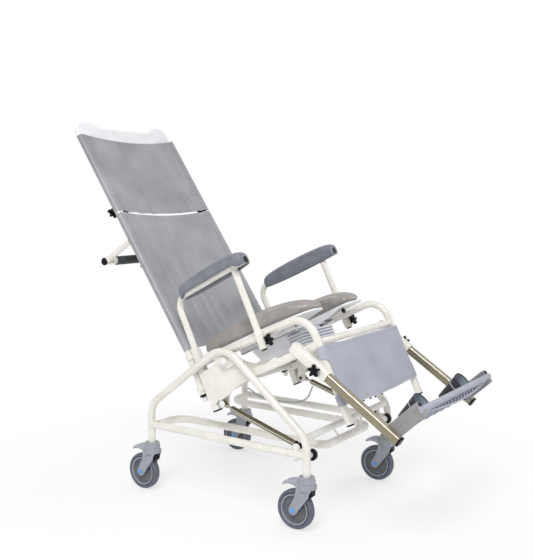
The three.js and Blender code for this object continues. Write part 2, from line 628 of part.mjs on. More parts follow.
function mechanismSide(sign) {
  const x = sign * rail.planeX;
  const square = rectangle(squareTube, squareTube);
  const post = bar(square, seat(x, lever.u, lever.bottomV), seat(x, lever.u, lever.topV), X);
  const long = bar(square, seat(x, lever.u, beam.v), seat(x, rail.calfU, beam.v), X);
  const inner = sign * sidePlate.innerX;
  const plate = plateAcrossX(sidePlateOutline, seat, inner, inner + sign * sidePlate.thickness);
  const boss = roundBar(
    sidePlate.bossRadius, seat(inner, 0, 0), seat(sign * sidePlate.bossOuterX, 0, 0), caster.sides / 2,
  );
  const cover = plateAcrossX(coverOutline, seat, sign * coverPlate.innerX, sign * coverPlate.outerX);
  const tubeX = sign * backTube.x;
  const clamps = [backClamp.upperV, backClamp.lowerV].flatMap((v) => [
    roundBar(
      backClamp.outerRadius, seat(tubeX, backTube.stubU, v - backClamp.height / 2),
      seat(tubeX, backTube.stubU, v + backClamp.height / 2), caster.sides / 2,
    ),
    bar(
      rectangle(squareTube / 2, backClamp.height), seat(tubeX, backTube.stubU, v), seat(tubeX, lever.u, v), X,
    ),
  ]);
  const link = bar(
    rectangle(legLink.length, legLink.height), seat(sign * legLink.innerX, legLink.u, beam.v),
    seat(sign * legLink.outerX, legLink.u, beam.v), Y,
  );
  const socket = bar(
    rectangle(legAxis.socketSize, legAxis.socketSize), legPoint(sign, legAxis.socketTop),
    legPoint(sign, legAxis.socketEnd), X,
  );
  const rodHole = legAxis.rodSize + fit * 2;
  const holes = [
    roundBar(lever.boreRadius, seat(x, arm.rearU, lever.boreV), seat(x, arm.rearU, lever.topV + fit), frameTube.sides + 2),
    roundBar(
      frameTube.radius + fit, seat(x, rail.calfU, rail.calfEndV), seat(x, rail.calfU, rail.v), frameTube.sides + 4,
    ),
    roundBar(
      pivotPin.radius + runningFit, seat(sign * (sidePlate.innerX - fit), 0, 0),
      seat(sign * (sidePlate.bossOuterX + fit), 0, 0), frameTube.sides + 4,
    ),
    roundBar(
      sidePlate.strutHole, seat(sign * (sidePlate.innerX - fit), strut.pinU, strut.pinV),
      seat(sign * (sidePlate.innerX + sidePlate.thickness + fit), strut.pinU, strut.pinV), caster.sides / 2,
    ),
    roundBar(
      coverPlate.capHole, seat(sign * (coverPlate.innerX - fit), strut.pinU, strut.pinV),
      seat(sign * (coverPlate.outerX + fit), strut.pinU, strut.pinV), caster.sides / 2,
    ),
    roundBar(
      backTube.radius + fit, seat(tubeX, backTube.stubU, backTube.bottomV), seat(tubeX, backTube.stubU, lever.topV),
      frameTube.sides + 4,
    ),
    bar(
      rectangle(rodHole, rodHole), legPoint(sign, legAxis.socketTop + fit), legPoint(sign, legAxis.socketEnd - fit), X,
    ),
    roundBar(studHole, legPoint(sign, legKnobAt), legPoint(sign, legKnobAt, legAxis.x + legAxis.socketSize), frameTube.sides / 2),
  ];
  const bootSize = squareTube - plug.inset;
  const boot = bar(
    rectangle(bootSize, bootSize), seat(x, lever.u, lever.bottomV + plug.depth),
    seat(x, lever.u, lever.bottomV - plug.depth), X,
  );
  return fuse([post, long, plate, cover, boss, ...clamps, link, socket, boot], holes);
}

function calfCrossTube() {
  const end = rail.planeX - frameTube.radius - fit;
  return roundBar(
    crossTube.calfRadius, seat(-end, rail.calfU, crossTube.calfV), seat(end, rail.calfU, crossTube.calfV), frameTube.sides,
  );
}

function rearCrossTube() {
  const end = rail.planeX - squareTube / 2 - fit;
  return roundBar(
    frameTube.radius, seat(-end, lever.u, crossTube.rearV), seat(end, lever.u, crossTube.rearV), frameTube.sides,
  );
}

// Star knob: neck starts at the seat face, head points along the axis, stud runs the other way.
function starKnob(face, axis, studLength) {
  const along = axis.clone().normalize();
  const helper = Math.abs(along.x) > 1 / 2 ? V(0, 0, 1) : V(1, 0, 0);
  const across = helper.addScaledVector(along, -helper.dot(along)).normalize();
  const up = V(0, 0, 0).crossVectors(along, across);
  const star = (scale, height) => Array.from({ length: knob.lobes * 4 }, (_, i) => {
    const angle = (i * 2 * Math.PI) / (knob.lobes * 4);
    const wave = (1 + Math.cos(knob.lobes * angle)) / 2;
    const radius = (knob.valleyRadius + wave * (knob.lobeRadius - knob.valleyRadius)) * scale;
    return face.clone().addScaledVector(along, height).addScaledVector(across, radius * Math.cos(angle))
      .addScaledVector(up, radius * Math.sin(angle));
  });
  const start = knob.neckLength - fit;
  const end = knob.neckLength + knob.depth;
  const softening = knob.depth / 5;
  const shrink = 1 - softening / knob.lobeRadius;
  const head = loft([star(shrink, start), star(1, start + softening), star(1, end - softening), star(shrink, end)]);
  const shaft = turned(
    [[knob.studRadius, -studLength], [knob.studRadius, fit], [knob.neckRadius, fit], [knob.neckRadius, knob.neckLength]],
    face, axis, frameTube.sides / 2 * 2 - 2,
  );
  return fuse([head, shaft]);
}

// arms
function armBow(sign, radius, count) {
  const at = (u, v) => seat(sign * armAxis(u), u, v);
  const corners = [at(arm.rearU, arm.rearEndV), at(arm.rearU, arm.topV), at(arm.tipU, arm.topV)];
  return sweep(circle(radius, count), rounded(corners, arm.bend, frameTube.bendSteps), X);
}

function armFrame(sign) {
  const at = (u, v) => seat(sign * armAxis(u), u, v);
  const bow = armBow(sign, arm.tubeRadius, arm.sides);
  const leg = turned([
    [arm.tubeRadius / 2, arm.frontEndV], [arm.tubeRadius - fit, arm.frontEndV + arm.bootDepth],
    [arm.tubeRadius, arm.frontEndV + arm.bootDepth], [arm.tubeRadius, arm.topV],
  ], at(arm.frontU, 0), Z, arm.sides);
  return fuse([bow, leg]);
}

function armPadSolid(sign) {
  const p = armPad;
  const length = p.frontU - p.rearU;
  const shares = [0, 0.03, 0.1, 0.3, 0.6, 0.88, 0.96, 1];
  const rings = shares.map((share) => {
    const u = p.rearU + share * length;
    const nose = Math.sqrt(Math.max(0, 1 - (Math.abs(share - 1 / 2) * 2) ** 12));
    const half = (p.rearHalf + share * (p.frontHalf - p.rearHalf)) * (0.6 + 0.4 * nose);
    const outset = p.endOutset + (p.outset - p.endOutset) * nose;
    const top = p.bottomV + (p.topV - p.bottomV) * (0.45 + 0.55 * nose);
    const at = (across, v) => seat(sign * (armAxis(u) + outset + across), u, v);
    return [
      at(-half * 0.85, p.innerV), at(-outset - arm.tubeRadius * 0.6, p.innerV + p.crown / 7), at(-outset, p.bottomV),
      at(half * 0.92, p.bottomV), at(half, p.bottomV + p.crown), at(half * 0.96, top - p.crown * 1.4),
      at(half * 0.74, top - p.crown / 2), at(half * 0.3, top), at(-half * 0.3, top), at(-half * 0.74, top - p.crown / 2),
      at(-half * 0.96, top - p.crown * 1.4), at(-half, p.bottomV - p.crown),
    ];
  });
  const groove = roundBar(
    arm.tubeRadius + fit, seat(sign * armAxis(0), 0, arm.topV),
    seat(sign * armAxis(p.frontU + p.topV), p.frontU + p.topV, arm.topV), frameTube.sides + 4,
  );
  const legHole = roundBar(
    arm.tubeRadius + fit * 2, seat(sign * armAxis(arm.frontU), arm.frontU, 0),
    seat(sign * armAxis(arm.frontU), arm.frontU, arm.topV), frameTube.sides + 4,
  );
  return fuse([loft(rings)], [groove, legHole, armBow(sign, arm.tubeRadius + fit * 2, frameTube.sides + 4)]);
}

// backrest
function backPoint(x, s, out = 0) {
  const lean = radians(backTube.leanDegrees);
  return seat(
    x, backTube.stubU - s * Math.sin(lean) + out * Math.cos(lean),
    backTube.leanV + s * Math.cos(lean) + out * Math.sin(lean),
  );
}

function backTubeSolid(sign) {
  const x = sign * backTube.x;
  const corners = [seat(x, backTube.stubU, backTube.bottomV), seat(x, backTube.stubU, backTube.leanV), backPoint(x, backTube.topS)];
  const tube = sweep(circle(backTube.radius, backTube.sides), rounded(corners, backTube.leanV, 2), X);
  const foot = turned([
    [backTube.tipRadius / 2, -backTube.tipRadius * 2], [backTube.tipRadius, -backTube.tipRadius * 1.4],
    [backTube.tipRadius, -backTube.tipRadius / 2], [backTube.tipRadius / 2, 0],
    [backTube.collarRadius, 0], [backTube.collarRadius, backTube.collarDepth],
  ], seat(x, backTube.stubU, backTube.bottomV - backTube.collarDepth / 2), Z, frameTube.sides);
  const bore = roundBar(
    backTube.boreRadius, backPoint(x, backTube.topS - backTube.boreDepth), backPoint(x, backTube.topS + fit), frameTube.sides,
  );
  const stud = roundBar(studHole, backPoint(x, headKnobS), backPoint(x, headKnobS, -backTube.radius * 2), frameTube.sides / 2);
  return fuse([tube, foot], [bore, stud]);
}

function headFrame() {
  const start = backTube.topS - headTube.insert;
  const rightHalf = headOutline.map(([x, s]) => backPoint(-x, s));
  const leftHalf = headOutline.slice(0, -1).reverse().map(([x, s]) => backPoint(x, s));
  const arch = smoothPath([...rightHalf, ...leftHalf], headOutline.length * 3 - 3);
  const [footX, footS] = headOutline[0];
  const up = V(0, 0, 0).subVectors(backPoint(0, 1), backPoint(0, 0));
  arch[0].along = up.clone();
  arch[arch.length - 1].along = up.clone().negate();
  const stations = [
    { at: backPoint(-footX, start), along: up }, ...arch, { at: backPoint(footX, start), along: up.clone().negate() },
  ];
  const tube = sweep(circle(headTube.radius, headTube.sides), stations, V(0, 0, 0).crossVectors(X, up));
  const inset = headTube.radius / 2;
  const edge = [...headOutline.slice(2), ...headOutline.slice(2, -1).reverse().map(([x, s]) => [-x, s])];
  const panelHalf = backTube.x - headPanel.inset;
  const outline = [
    [panelHalf, headPanel.lowS], ...edge.map(([x, s]) => [x - Math.sign(x) * inset / 2, s - inset]),
    [-panelHalf, headPanel.lowS],
  ];
  const half = headPanel.thickness / 2;
  const panel = loft([-half, half].map((out) => outline.map(([x, s]) => backPoint(x, s, out))));
  return fuse([tube, panel]);
}

function pushBarSolid() {
  const side = V(1, 0, 0);
  const barHalf = backTube.x + pushBar.overhang;
  const arms = sides.map(([, sign]) => {
    const x = sign * backTube.x;
    return bar(
      circle(pushBar.armRadius, frameTube.sides), seat(x, pushBar.startU, pushBar.v),
      seat(x, pushBar.barU, pushBar.barV), side,
    );
  });
  const cross = roundBar(
    pushBar.radius, seat(-barHalf, pushBar.barU, pushBar.barV), seat(barHalf, pushBar.barU, pushBar.barV),
    frameTube.sides,
  );
  const caps = sides.map(([, sign]) => dome(
    pushBar.radius - plug.inset / 2, pushBar.plugDepth,
    seat(sign * (barHalf - fit), pushBar.barU, pushBar.barV), V(sign, 0, 0),
  ));
  return fuse([...arms, cross, ...caps]);
}

function pushGripSolid() {
  const inner = pushBar.radius + fit;
  const outer = pushGrip.radius;
  const count = pushGrip.ridges * 2;
  const top = Array.from({ length: count + 1 }, (_, i) => {
    const height = -pushGrip.half + (2 * pushGrip.half * i) / count;
    return [outer - (i % 2 ? pushGrip.ridge : 0) - (i === 0 || i === count ? pushGrip.ridge : 0), height];
  });
  return turnedHoop(
    [[inner, -pushGrip.half], ...top, [inner, pushGrip.half]], seat(0, pushBar.barU, pushBar.barV), X, frameTube.sides,
  );
}

// cloth
// Columns run from the wrapped edge behind one tube, across the front, to the other tube.
function clothColumns(tubeX, radius, wrap, columns) {
  const arc = Array.from({ length: cloth.wrapSteps }, (_, i) => {
    const angle = radians(wrap) * (1 - i / cloth.wrapSteps);
    return { x: tubeX + radius * Math.sin(angle), out: radius * Math.cos(angle), share: 1 };
  });
  const flat = Array.from({ length: columns + 1 }, (_, i) => {
    const share = 1 - (2 * i) / columns;
    return { x: tubeX * share, out: radius, share };
  });
  const left = arc;
  const right = [...arc].reverse().map((c) => ({ x: -c.x, out: c.out, share: -1 }));
  return [...left, ...flat, ...right];
}

function backSling(low, high, lowDip, highDip, sag, rows, columns, sagAt) {
  const radius = backTube.radius + cloth.gap + cloth.thickness;
  const places = clothColumns(backTube.x, radius, cloth.wrapDegrees, columns);
  const grid = Array.from({ length: rows + 1 }, (_, r) => places.map(({ x, out, share }) => {
    const middle = 1 - share * share;
    const bottom = low - lowDip * middle;
    const top = high - highDip * middle;
    const height = r / rows;
    const s = bottom + (top - bottom) * height;
    return backPoint(x, s, out - sag * middle * sagAt(height));
  }));
  return thickSheet(grid, cloth.thickness, 1);
}

function calfSlingSolid() {
  const radius = frameTube.radius + cloth.gap * 2 + cloth.thickness;
  const c = calfSling;
  const grid = Array.from({ length: c.rows + 1 }, (_, r) => {
    const height = r / c.rows;
    const fromEnd = Math.min(height, 1 - height);
    const hem = THREE.MathUtils.clamp((fromEnd - c.hemShare) / c.hemShare, 0, 1);
    const wrap = cloth.wrapDegrees + (c.midWrap - cloth.wrapDegrees) * hem;
    return clothColumns(rail.planeX, radius, wrap, c.columns).map(({ x, out, share }) => {
      const middle = 1 - share * share;
      const v = c.topV + (c.bottomV - c.topV - c.bottomDip * middle) * height;
      return seat(x, rail.calfU + out - c.sag * middle * Math.sin(Math.PI * (0.25 + height / 2)), v);
    });
  });
  return thickSheet(grid, cloth.thickness, -1);
}

// seat surface and pan
function mirroredTable(table) {
  const back = table.slice(0, -1).reverse().map(([a, b, c, d, e]) => [-a, b, -c, d, e]);
  return [...table, ...back];
}

function cushionSolid() {
  const c = cushion;
  const rise = c.topV - c.bottomV;
  const section = [
    [c.tuck, 0, 0], [0, c.edgeShare, 0], [c.tuck / 3, c.shoulderShare, 0], [c.tuck * 2, 0.93, 0], [0, 1, 0.36],
    [0, 1, 0.64], [c.tuck * 2, 0.93, 1], [c.tuck / 3, c.shoulderShare, 1], [0, c.edgeShare, 1], [c.tuck, 0, 1],
  ];
  const rings = mirroredTable(cushionTable).map(([ix, iu, ox, ou, share]) => {
    const inner = seat(ix, iu, 0);
    const outer = seat(ox, ou, 0);
    const across = V(0, 0, 0).subVectors(outer, inner);
    const width = across.length();
    across.normalize();
    return section.map(([inset, height, place]) => {
      const shift = place * width + (place < 1 / 2 ? inset : -inset) * (place === 0 || place === 1 ? 1 : 0);
      const lifted = inner.clone().addScaledVector(across, shift);
      lifted.z = c.bottomV + rise * height * share;
      return lifted;
    });
  });
  return loft(rings);
}

function seatRingSolid() {
  const r = ring;
  const rings = mirroredTable(cushionTable).map(([ix, iu, ox, ou]) => {
    const inner = seat(ix, iu, 0);
    const outer = seat(ox, ou, 0);
    const across = V(0, 0, 0).subVectors(outer, inner);
    const width = across.length() + r.overhang;
    across.normalize();
    const at = (shift, v) => inner.clone().addScaledVector(across, shift).setZ(v);
    return [
      at(0, r.lipBottomV), at(0, r.topV), at(width, r.topV), at(width, r.bottomV), at(r.lipThick, r.bottomV),
      at(r.lipThick, r.lipBottomV),
    ];
  });
  const tracks = [-1, 1].flatMap((sign) => {
    const webX = sign * (runner.webX + runner.web / 2);
    const ledgeX = (sign * (runner.webX + runner.web + runner.ledgeX)) / 2;
    const ledgeWidth = runner.webX + runner.web - runner.ledgeX;
    const middleV = (runner.ledgeV + r.topV) / 2;
    return [
      bar(
        rectangle(runner.web, r.topV - fit - runner.ledgeV), seat(webX, runner.rearU, middleV),
        seat(webX, runner.frontU, middleV), X,
      ),
      bar(
        rectangle(ledgeWidth, runner.ledge), seat(ledgeX, runner.rearU, runner.ledgeV + runner.ledge / 2),
        seat(ledgeX, runner.frontU, runner.ledgeV + runner.ledge / 2), X,
      ),
    ];
  });
  return fuse([loft(rings), ...tracks]);
}

function roundedBox(half, rearU, frontU, corner, v, steps) {
  const points = [];
  const centres = [[half, frontU, 0], [-half, frontU, 1], [-half, rearU, 2], [half, rearU, 3]];
  centres.forEach(([x, u, quarter]) => {
    const cx = x - Math.sign(x) * corner;
    const cu = u === frontU ? u - corner : u + corner;
    for (let k = 0; k <= steps; k += 1) {
      const angle = ((quarter + k / steps) * Math.PI) / 2;
      points.push(seat(cx + corner * Math.cos(angle), cu + corner * Math.sin(angle), v));
    }
  });
  return points;
}

function commodePan() {
  const p = pan;
  const steps = p.steps / 2;
  const level = (grow, v, shrink = 1) => roundedBox(
    (p.half + grow) * shrink, p.rearU + 10 * fit - grow + (1 - shrink) * p.half, p.frontU - 10 * fit + grow - (1 - shrink) * p.half,
    p.corner + grow, v, steps,
  );
  const rimTop = p.flangeV + p.flange;
  const flange = loft([
    roundedBox(p.flangeHalf, p.rearU, p.frontU, p.wall * 4, p.flangeV, 1),
    roundedBox(p.flangeHalf, p.rearU, p.frontU, p.wall * 4, rimTop, 1),
  ]);
  const solidTub = loft([level(0, p.bottomV, p.draft), level(0, p.bottomV + p.corner / 4, p.draft + (1 - p.draft) / 2), level(0, rimTop)]);
  const hollow = loft([
    level(-p.wall, p.bottomV + p.wall, p.draft),
    level(-p.wall, p.bottomV + p.corner / 4 + p.wall / 2, p.draft + (1 - p.draft) / 2), level(-p.wall, rimTop + fit),
  ]);
  return fuse([solidTub, flange, panGripSolid()], [hollow]);
}

function panGripSolid() {
  const g = panGrip;
  const count = g.ribs * 2;
  const outline = [[g.rearU, g.topV + g.noseDrop], [g.frontU - g.noseDrop, g.topV], [g.frontU, g.topV - g.noseDrop / 2]];
  for (let i = 0; i <= count; i += 1) {
    const share = i / count;
    const u = g.frontU - share * (g.frontU - g.rearU);
    outline.push([u, g.bottomV + (i % 2 ? g.ribDepth : 0) + (i === 0 ? g.ribDepth * 2 : 0)]);
  }
  return plateAcrossX(outline, seat, -g.half, g.half);
}

// leg supports
function legRodSolid(sign) {
  const square = rectangle(legAxis.rodSize, legAxis.rodSize);
  const rod = bar(square, legPoint(sign, legRod.top), legPoint(sign, 0), X);
  const boot = bar(
    rectangle(legAxis.rodSize + plug.inset, legAxis.rodSize + plug.inset), legPoint(sign, legRod.capDepth / 2),
    legPoint(sign, -legRod.capDepth), X,
  );
  const spigotFrom = legPoint(sign, footplate.cheekLow, legAxis.x - legAxis.rodSize / 2 + plug.inset);
  const spigotTo = legPoint(sign, footplate.cheekLow, footplate.half - footplate.pinRadius * 2);
  const spigot = roundBar(footplate.pinRadius, spigotTo, spigotFrom, frameTube.sides);
  return fuse([rod, boot, spigot]);
}

// Footplate directions: a runs from heel to toe, b square to the plate towards the sole.
function footPoint(x, a, b) {
  const tilt = radians(footplate.tilt);
  return seat(
    x, footplate.heelU + a * Math.cos(tilt) - b * Math.sin(tilt), footplate.heelV + a * Math.sin(tilt) + b * Math.cos(tilt),
  );
}

function footplateSolid() {
  const f = footplate;
  const inner = f.cheekX - f.cheekThick - plug.inset;
  const plate = plateAcrossX(
    [[0, 0], [f.length, 0], [f.length + f.thickness / 2, -f.thickness / 2], [f.length, -f.thickness], [0, -f.thickness]],
    footPoint, -inner, inner,
  );
  const ribs = Array.from({ length: f.ribs }, (_, i) => {
    const x = -inner + ((i + 1 / 2) * 2 * inner) / f.ribs;
    return plateAcrossX(
      [[f.thickness, -f.thickness / 2], [f.length - f.thickness, -f.thickness / 2],
        [f.length - f.thickness * 2, -f.thickness - f.ribDepth], [f.thickness * 2, -f.thickness - f.ribDepth]],
      footPoint, x - f.ribDepth / 2, x + f.ribDepth / 2,
    );
  });
  const heel = -f.cheekHeel;
  const toe = f.length + f.cheekToe;
  const cheekOutline = [
    [heel + f.cheekCorner, -f.cheekLow], [toe - f.cheekCorner, -f.cheekLow], [toe, f.cheekCorner - f.cheekLow],
    [toe, f.cheekHigh - f.cheekCorner], [toe - f.cheekCorner, f.cheekHigh], [heel + f.cheekCorner, f.cheekHigh],
    [heel, f.cheekHigh - f.cheekCorner], [heel, f.cheekCorner - f.cheekLow],
  ];
  const cheeks = sides.map(([, sign]) => plateAcrossX(
    cheekOutline, footPoint, sign * (f.cheekX - plug.inset), sign * (f.cheekX - f.cheekThick - plug.inset * 2),
  ));
  const toeTube = roundBar(
    f.tubeRadius, footPoint(-f.tubeHalf, f.length + f.thickness / 2, 0), footPoint(f.tubeHalf, f.length + f.thickness / 2, 0),
    frameTube.sides,
  );
  const holes = sides.map(([, sign]) => roundBar(
    f.pinRadius + fit * 2, legPoint(sign, f.cheekLow, f.cheekX + f.cheekThick), legPoint(sign, f.cheekLow, f.half - f.pinRadius * 2 - fit * 2),
    frameTube.sides,
  ));
  return fuse([plate, ...ribs, ...cheeks, toeTube], holes);
}

// A hood over the heel: low and leaning back at the heel, tall and upright towards the toes.
function heelStrapSolid(sign) {
  const h = heelStrap;
  return loft(Array.from({ length: h.steps + 1 }, (_, i) => {
    const angle = (Math.PI * i) / h.steps;
    const side = Math.cos(angle);
    const rise = Math.sqrt(Math.sin(angle));
    const outerX = sign * h.x - h.half * side;
    const innerX = sign * h.x - (h.half - h.thickness) * side;
    const heelA = h.heelA - h.heelLean * rise;
    const inner = (height) => Math.max(0, height * rise - h.thickness * rise) + fit;
    return [
      footPoint(outerX, heelA, h.heelRise * rise + fit), footPoint(outerX, h.toeA, h.toeRise * rise + fit),
      footPoint(innerX, h.toeA, inner(h.toeRise)), footPoint(innerX, heelA + h.thickness / 2, inner(h.heelRise)),
    ];
  }));
}

// gas struts, in the floor-fixed frame
function strutEnds(sign) {
  const tilt = radians(seatTilt);
  const u = strut.pinU;
  const v = strut.pinV;
  const pin = V(
    sign * strut.planeX, -u * Math.cos(tilt) + v * Math.sin(tilt), pivotHeight + u * Math.sin(tilt) + v * Math.cos(tilt),
  );
  const foot = V(sign * strut.planeX, strutFoot.y, strutFoot.z);
  return { pin, foot, along: V(0, 0, 0).subVectors(pin, foot).normalize() };
}

function strutCylinder(sign) {
  const { foot, along } = strutEnds(sign);
  const neck = strut.eyeRadius * 0.8;
  const bodyEnd = strut.bodyStart + strut.bodyLength;
  const body = turned([
    [strut.eyeRadius * 0.6, neck * 0.6], [strut.bootRadius, neck * 1.4], [strut.bootRadius, neck + strut.bootLength],
    [strut.bodyRadius, neck + strut.bootLength], [strut.bodyRadius, bodyEnd - fit * 10], [strut.bodyRadius * 0.8, bodyEnd],
  ], foot, along, caster.sides / 2);
  const halfEye = V(strut.eyeWidth / 2, 0, 0);
  const eye = roundBar(strut.eyeRadius, foot.clone().sub(halfEye), foot.clone().add(halfEye), frameTube.sides);
  const eyeHole = roundBar(
    strut.eyeBore, foot.clone().addScaledVector(halfEye, -2), foot.clone().addScaledVector(halfEye, 2), frameTube.sides + 4,
  );
  const boreStart = foot.clone().addScaledVector(along, strut.bodyStart + strut.bootLength);
  const bore = roundBar(
    strut.boreRadius, boreStart, foot.clone().addScaledVector(along, bodyEnd + fit), frameTube.sides,
  );
  return fuse([body, eye], [eyeHole, bore]);
}

function strutRod(sign) {
  const { pin, along } = strutEnds(sign);
  const back = along.clone().negate();
  const rod = turned(
    [[strut.rodRadius, 0], [strut.rodRadius, strut.rodInserted + strut.bodyStart]], pin, back, frameTube.sides - 2,
  );
  const halfEye = V(strut.eyeWidth / 2, 0, 0);
  const eye = roundBar(strut.eyeRadius, pin.clone().sub(halfEye), pin.clone().add(halfEye), frameTube.sides);
  const inner = V(sign * (sidePlate.innerX - fit * 10), pin.y, pin.z);
  const stub = roundBar(strut.pinRadius, inner, pin, frameTube.sides);
  const cap = dome(strut.capRadius, strut.capRise, pin.clone().addScaledVector(halfEye, sign), V(sign, 0, 0));
  return fuse([rod, eye, stub, cap]);
}

// nodes
sides.forEach(([name, sign]) => {
  addNode(assembly, `base_side_frame_${name}`, 'enamel', sideFrame(sign));
  addNode(assembly, `tilt_pivot_pin_${name}`, 'white', tiltPivotPin(sign));
  addNode(assembly, `front_bumper_${name}`, 'black', bumperRubber(sign));
});
addNode(assembly, 'base_floor_frame', 'enamel', floorFrameSolid());
addNode(assembly, 'release_cable', 'black', releaseCable());
casterPlaces().forEach((place) => {
  addNode(assembly, `caster_fork_${place.name}`, 'grey', casterFork(place));
  addNode(assembly, `caster_wheel_${place.name}`, 'grey', casterWheel(place));
  addNode(assembly, `caster_tyre_${place.name}`, 'tread', casterTyre(place));
  addNode(assembly, `brake_pedal_${place.name}`, 'pale', brakePedal(place));
});

sides.forEach(([name, sign]) => {
  addNode(seatGroup, `seat_rail_${name}`, 'enamel', seatRail(sign));
  addNode(seatGroup, `mechanism_side_${name}`, 'enamel', mechanismSide(sign));
  addNode(seatGroup, `arm_frame_${name}`, 'enamel', armFrame(sign));
  addNode(seatGroup, `arm_pad_${name}`, 'slate', armPadSolid(sign));
  addNode(seatGroup, `back_tube_${name}`, 'enamel', backTubeSolid(sign));
  addNode(seatGroup, `leg_rod_${name}`, 'bronze', legRodSolid(sign));
  addNode(assembly, `strut_cylinder_${name}`, 'steel', strutCylinder(sign));
  addNode(assembly, `strut_rod_${name}`, 'steel', strutRod(sign));
  addNode(seatGroup, `heel_strap_${name}`, 'slate', heelStrapSolid(sign));
});
sides.forEach(([name, sign]) => {
  const socketFace = seat(sign * arm.frontX, arm.frontU + armSocket.outerRadius, armSocket.knobV);
  const armStud = armSocket.outerRadius - arm.tubeRadius - fit * 2;
  addNode(seatGroup, `arm_knob_${name}`, 'black', starKnob(socketFace, seat(0, 1, 0), armStud));
  const legFace = legPoint(sign, legKnobAt, legAxis.x + legAxis.socketSize / 2);
  const legStud = (legAxis.socketSize - legAxis.rodSize) / 2 - fit * 2;
  addNode(seatGroup, `leg_knob_${name}`, 'black', starKnob(legFace, V(sign, 0, 0), legStud));
  const rearward = V(0, 0, 0).subVectors(backPoint(0, 0, -1), backPoint(0, 0, 0));
  const headFace = backPoint(sign * backTube.x, headKnobS, -backTube.radius);
  const headStud = backTube.radius - headTube.radius - fit * 2;
  addNode(seatGroup, `head_knob_${name}`, 'black', starKnob(headFace, rearward, headStud));
});
addNode(seatGroup, 'calf_cross_tube', 'enamel', calfCrossTube());
addNode(seatGroup, 'rear_cross_tube', 'enamel', rearCrossTube());
addNode(seatGroup, 'seat_cushion', 'taupe', cushionSolid());
addNode(seatGroup, 'seat_ring', 'white', seatRingSolid());
addNode(seatGroup, 'commode_pan', 'pan', commodePan());
addNode(seatGroup, 'back_sling', 'vinyl', backSling(
  lowSling.bottomS, lowSling.topS, 0, lowSling.topDip, lowSling.sag, lowSling.rows, lowSling.columns,
  (height) => Math.sin(Math.PI * Math.sqrt(height) * 0.9),
));
addNode(seatGroup, 'head_sling', 'vinyl', backSling(
  headSling.bottomS, headSling.topS, headSling.bottomDip, headSling.topDip, headSling.sag, headSling.rows,
  headSling.columns, (height) => 1 - height / 2,
));
addNode(seatGroup, 'head_frame', 'white', headFrame());
addNode(seatGroup, 'push_bar', 'enamel', pushBarSolid());
addNode(seatGroup, 'push_grip', 'black', pushGripSolid());
addNode(seatGroup, 'calf_sling', 'lilac', calfSlingSolid());
addNode(seatGroup, 'footplate', 'plate', footplateSolid());

export default assembly;
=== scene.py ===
import json
import math

import bmesh
import bpy
import numpy as np
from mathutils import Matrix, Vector, noise

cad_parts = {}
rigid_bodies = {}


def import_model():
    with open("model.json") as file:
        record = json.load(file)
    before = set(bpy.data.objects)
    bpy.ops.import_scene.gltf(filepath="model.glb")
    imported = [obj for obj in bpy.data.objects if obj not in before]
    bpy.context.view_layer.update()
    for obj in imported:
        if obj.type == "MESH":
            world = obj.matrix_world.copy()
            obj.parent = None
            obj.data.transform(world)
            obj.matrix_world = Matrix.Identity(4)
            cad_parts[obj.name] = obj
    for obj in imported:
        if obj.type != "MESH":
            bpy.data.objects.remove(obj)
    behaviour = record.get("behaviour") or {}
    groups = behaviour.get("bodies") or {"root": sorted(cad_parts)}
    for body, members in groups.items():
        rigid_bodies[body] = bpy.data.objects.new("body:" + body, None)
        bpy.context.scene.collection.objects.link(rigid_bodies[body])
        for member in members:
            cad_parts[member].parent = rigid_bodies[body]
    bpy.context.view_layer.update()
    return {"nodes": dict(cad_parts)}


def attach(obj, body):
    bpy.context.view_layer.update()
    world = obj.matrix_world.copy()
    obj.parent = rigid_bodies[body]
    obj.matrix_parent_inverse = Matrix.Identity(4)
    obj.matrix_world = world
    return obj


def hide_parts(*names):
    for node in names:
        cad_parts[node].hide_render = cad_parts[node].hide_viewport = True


for default in list(bpy.data.objects):
    bpy.data.objects.remove(default)
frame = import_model()
nodes = frame["nodes"]

# The part's own sizes, in millimetres and degrees, as in its source.
MM = 0.001
CENTRING = -10.66
TILT = math.radians(25.8)
SIN = math.sin(TILT)
COS = math.cos(TILT)
SIDES = (("right", -1), ("left", 1))
PAIR = (-1, 1)
X = np.array([1.0, 0, 0])
Y = np.array([0, 1.0, 0])
Z = np.array([0, 0, 1.0])
TUBE = 12.5
SLIM_TUBE = 11

# Places in the base, as y and z.
PIVOT_Z = 491
HOOP_X = 272.8
FRONT_POST_Y = -317.6
REAR_POST_Y = 317.4
RAIL_Z = 234
STRUT_FOOT = (-274.6, 252)
BUMPER = (-319.4, 236)
LOOP_FRONT = (-308.6, 235)
LOOP_REAR = (297.4, 235)
UPPER_BAR = (-309.6, 288)
HUB = (38, 62.5)
PEDAL_RUN = (25.6, 82)

# Places in the tilting frame, as u forward along the seat and v square to it.
RAIL_X = 244
BACK_X = 244.5
ARM_POST_X = 270
ARM_POST_U = 168
ARM_REAR_U = -120
ARM_V = 262
CALF_U = 344
CALF_FOOT_V = -325
LEVER = (-118, -71)
LEVER_FOOT_V = -134
LINK = (296, -71)
BACK_U = -153
BACK_FOOT_V = -73
BACK_BEND_V = 90
STRUT_PIN = (-85, -123)
HANDLE = (-370, 511)
CUSHION_V = 47.2
BOARD_V = 46.8


def base(x, y, z):
    return np.array([x, y + CENTRING, z], float)


def seat(x, u, v):
    return np.array([x, CENTRING - u * COS + v * SIN, PIVOT_Z + u * SIN + v * COS], float)


def mirrored(place, sign):
    """The same places, with x measured outward on one side."""
    return lambda x, *rest: place(sign * x, *rest)


FORWARD = seat(0, 1, 0) - seat(0, 0, 0)
UPWARD = seat(0, 0, 1) - seat(0, 0, 0)


def assign(target, **values):
    for name, value in values.items():
        setattr(target, name, value)
    return target


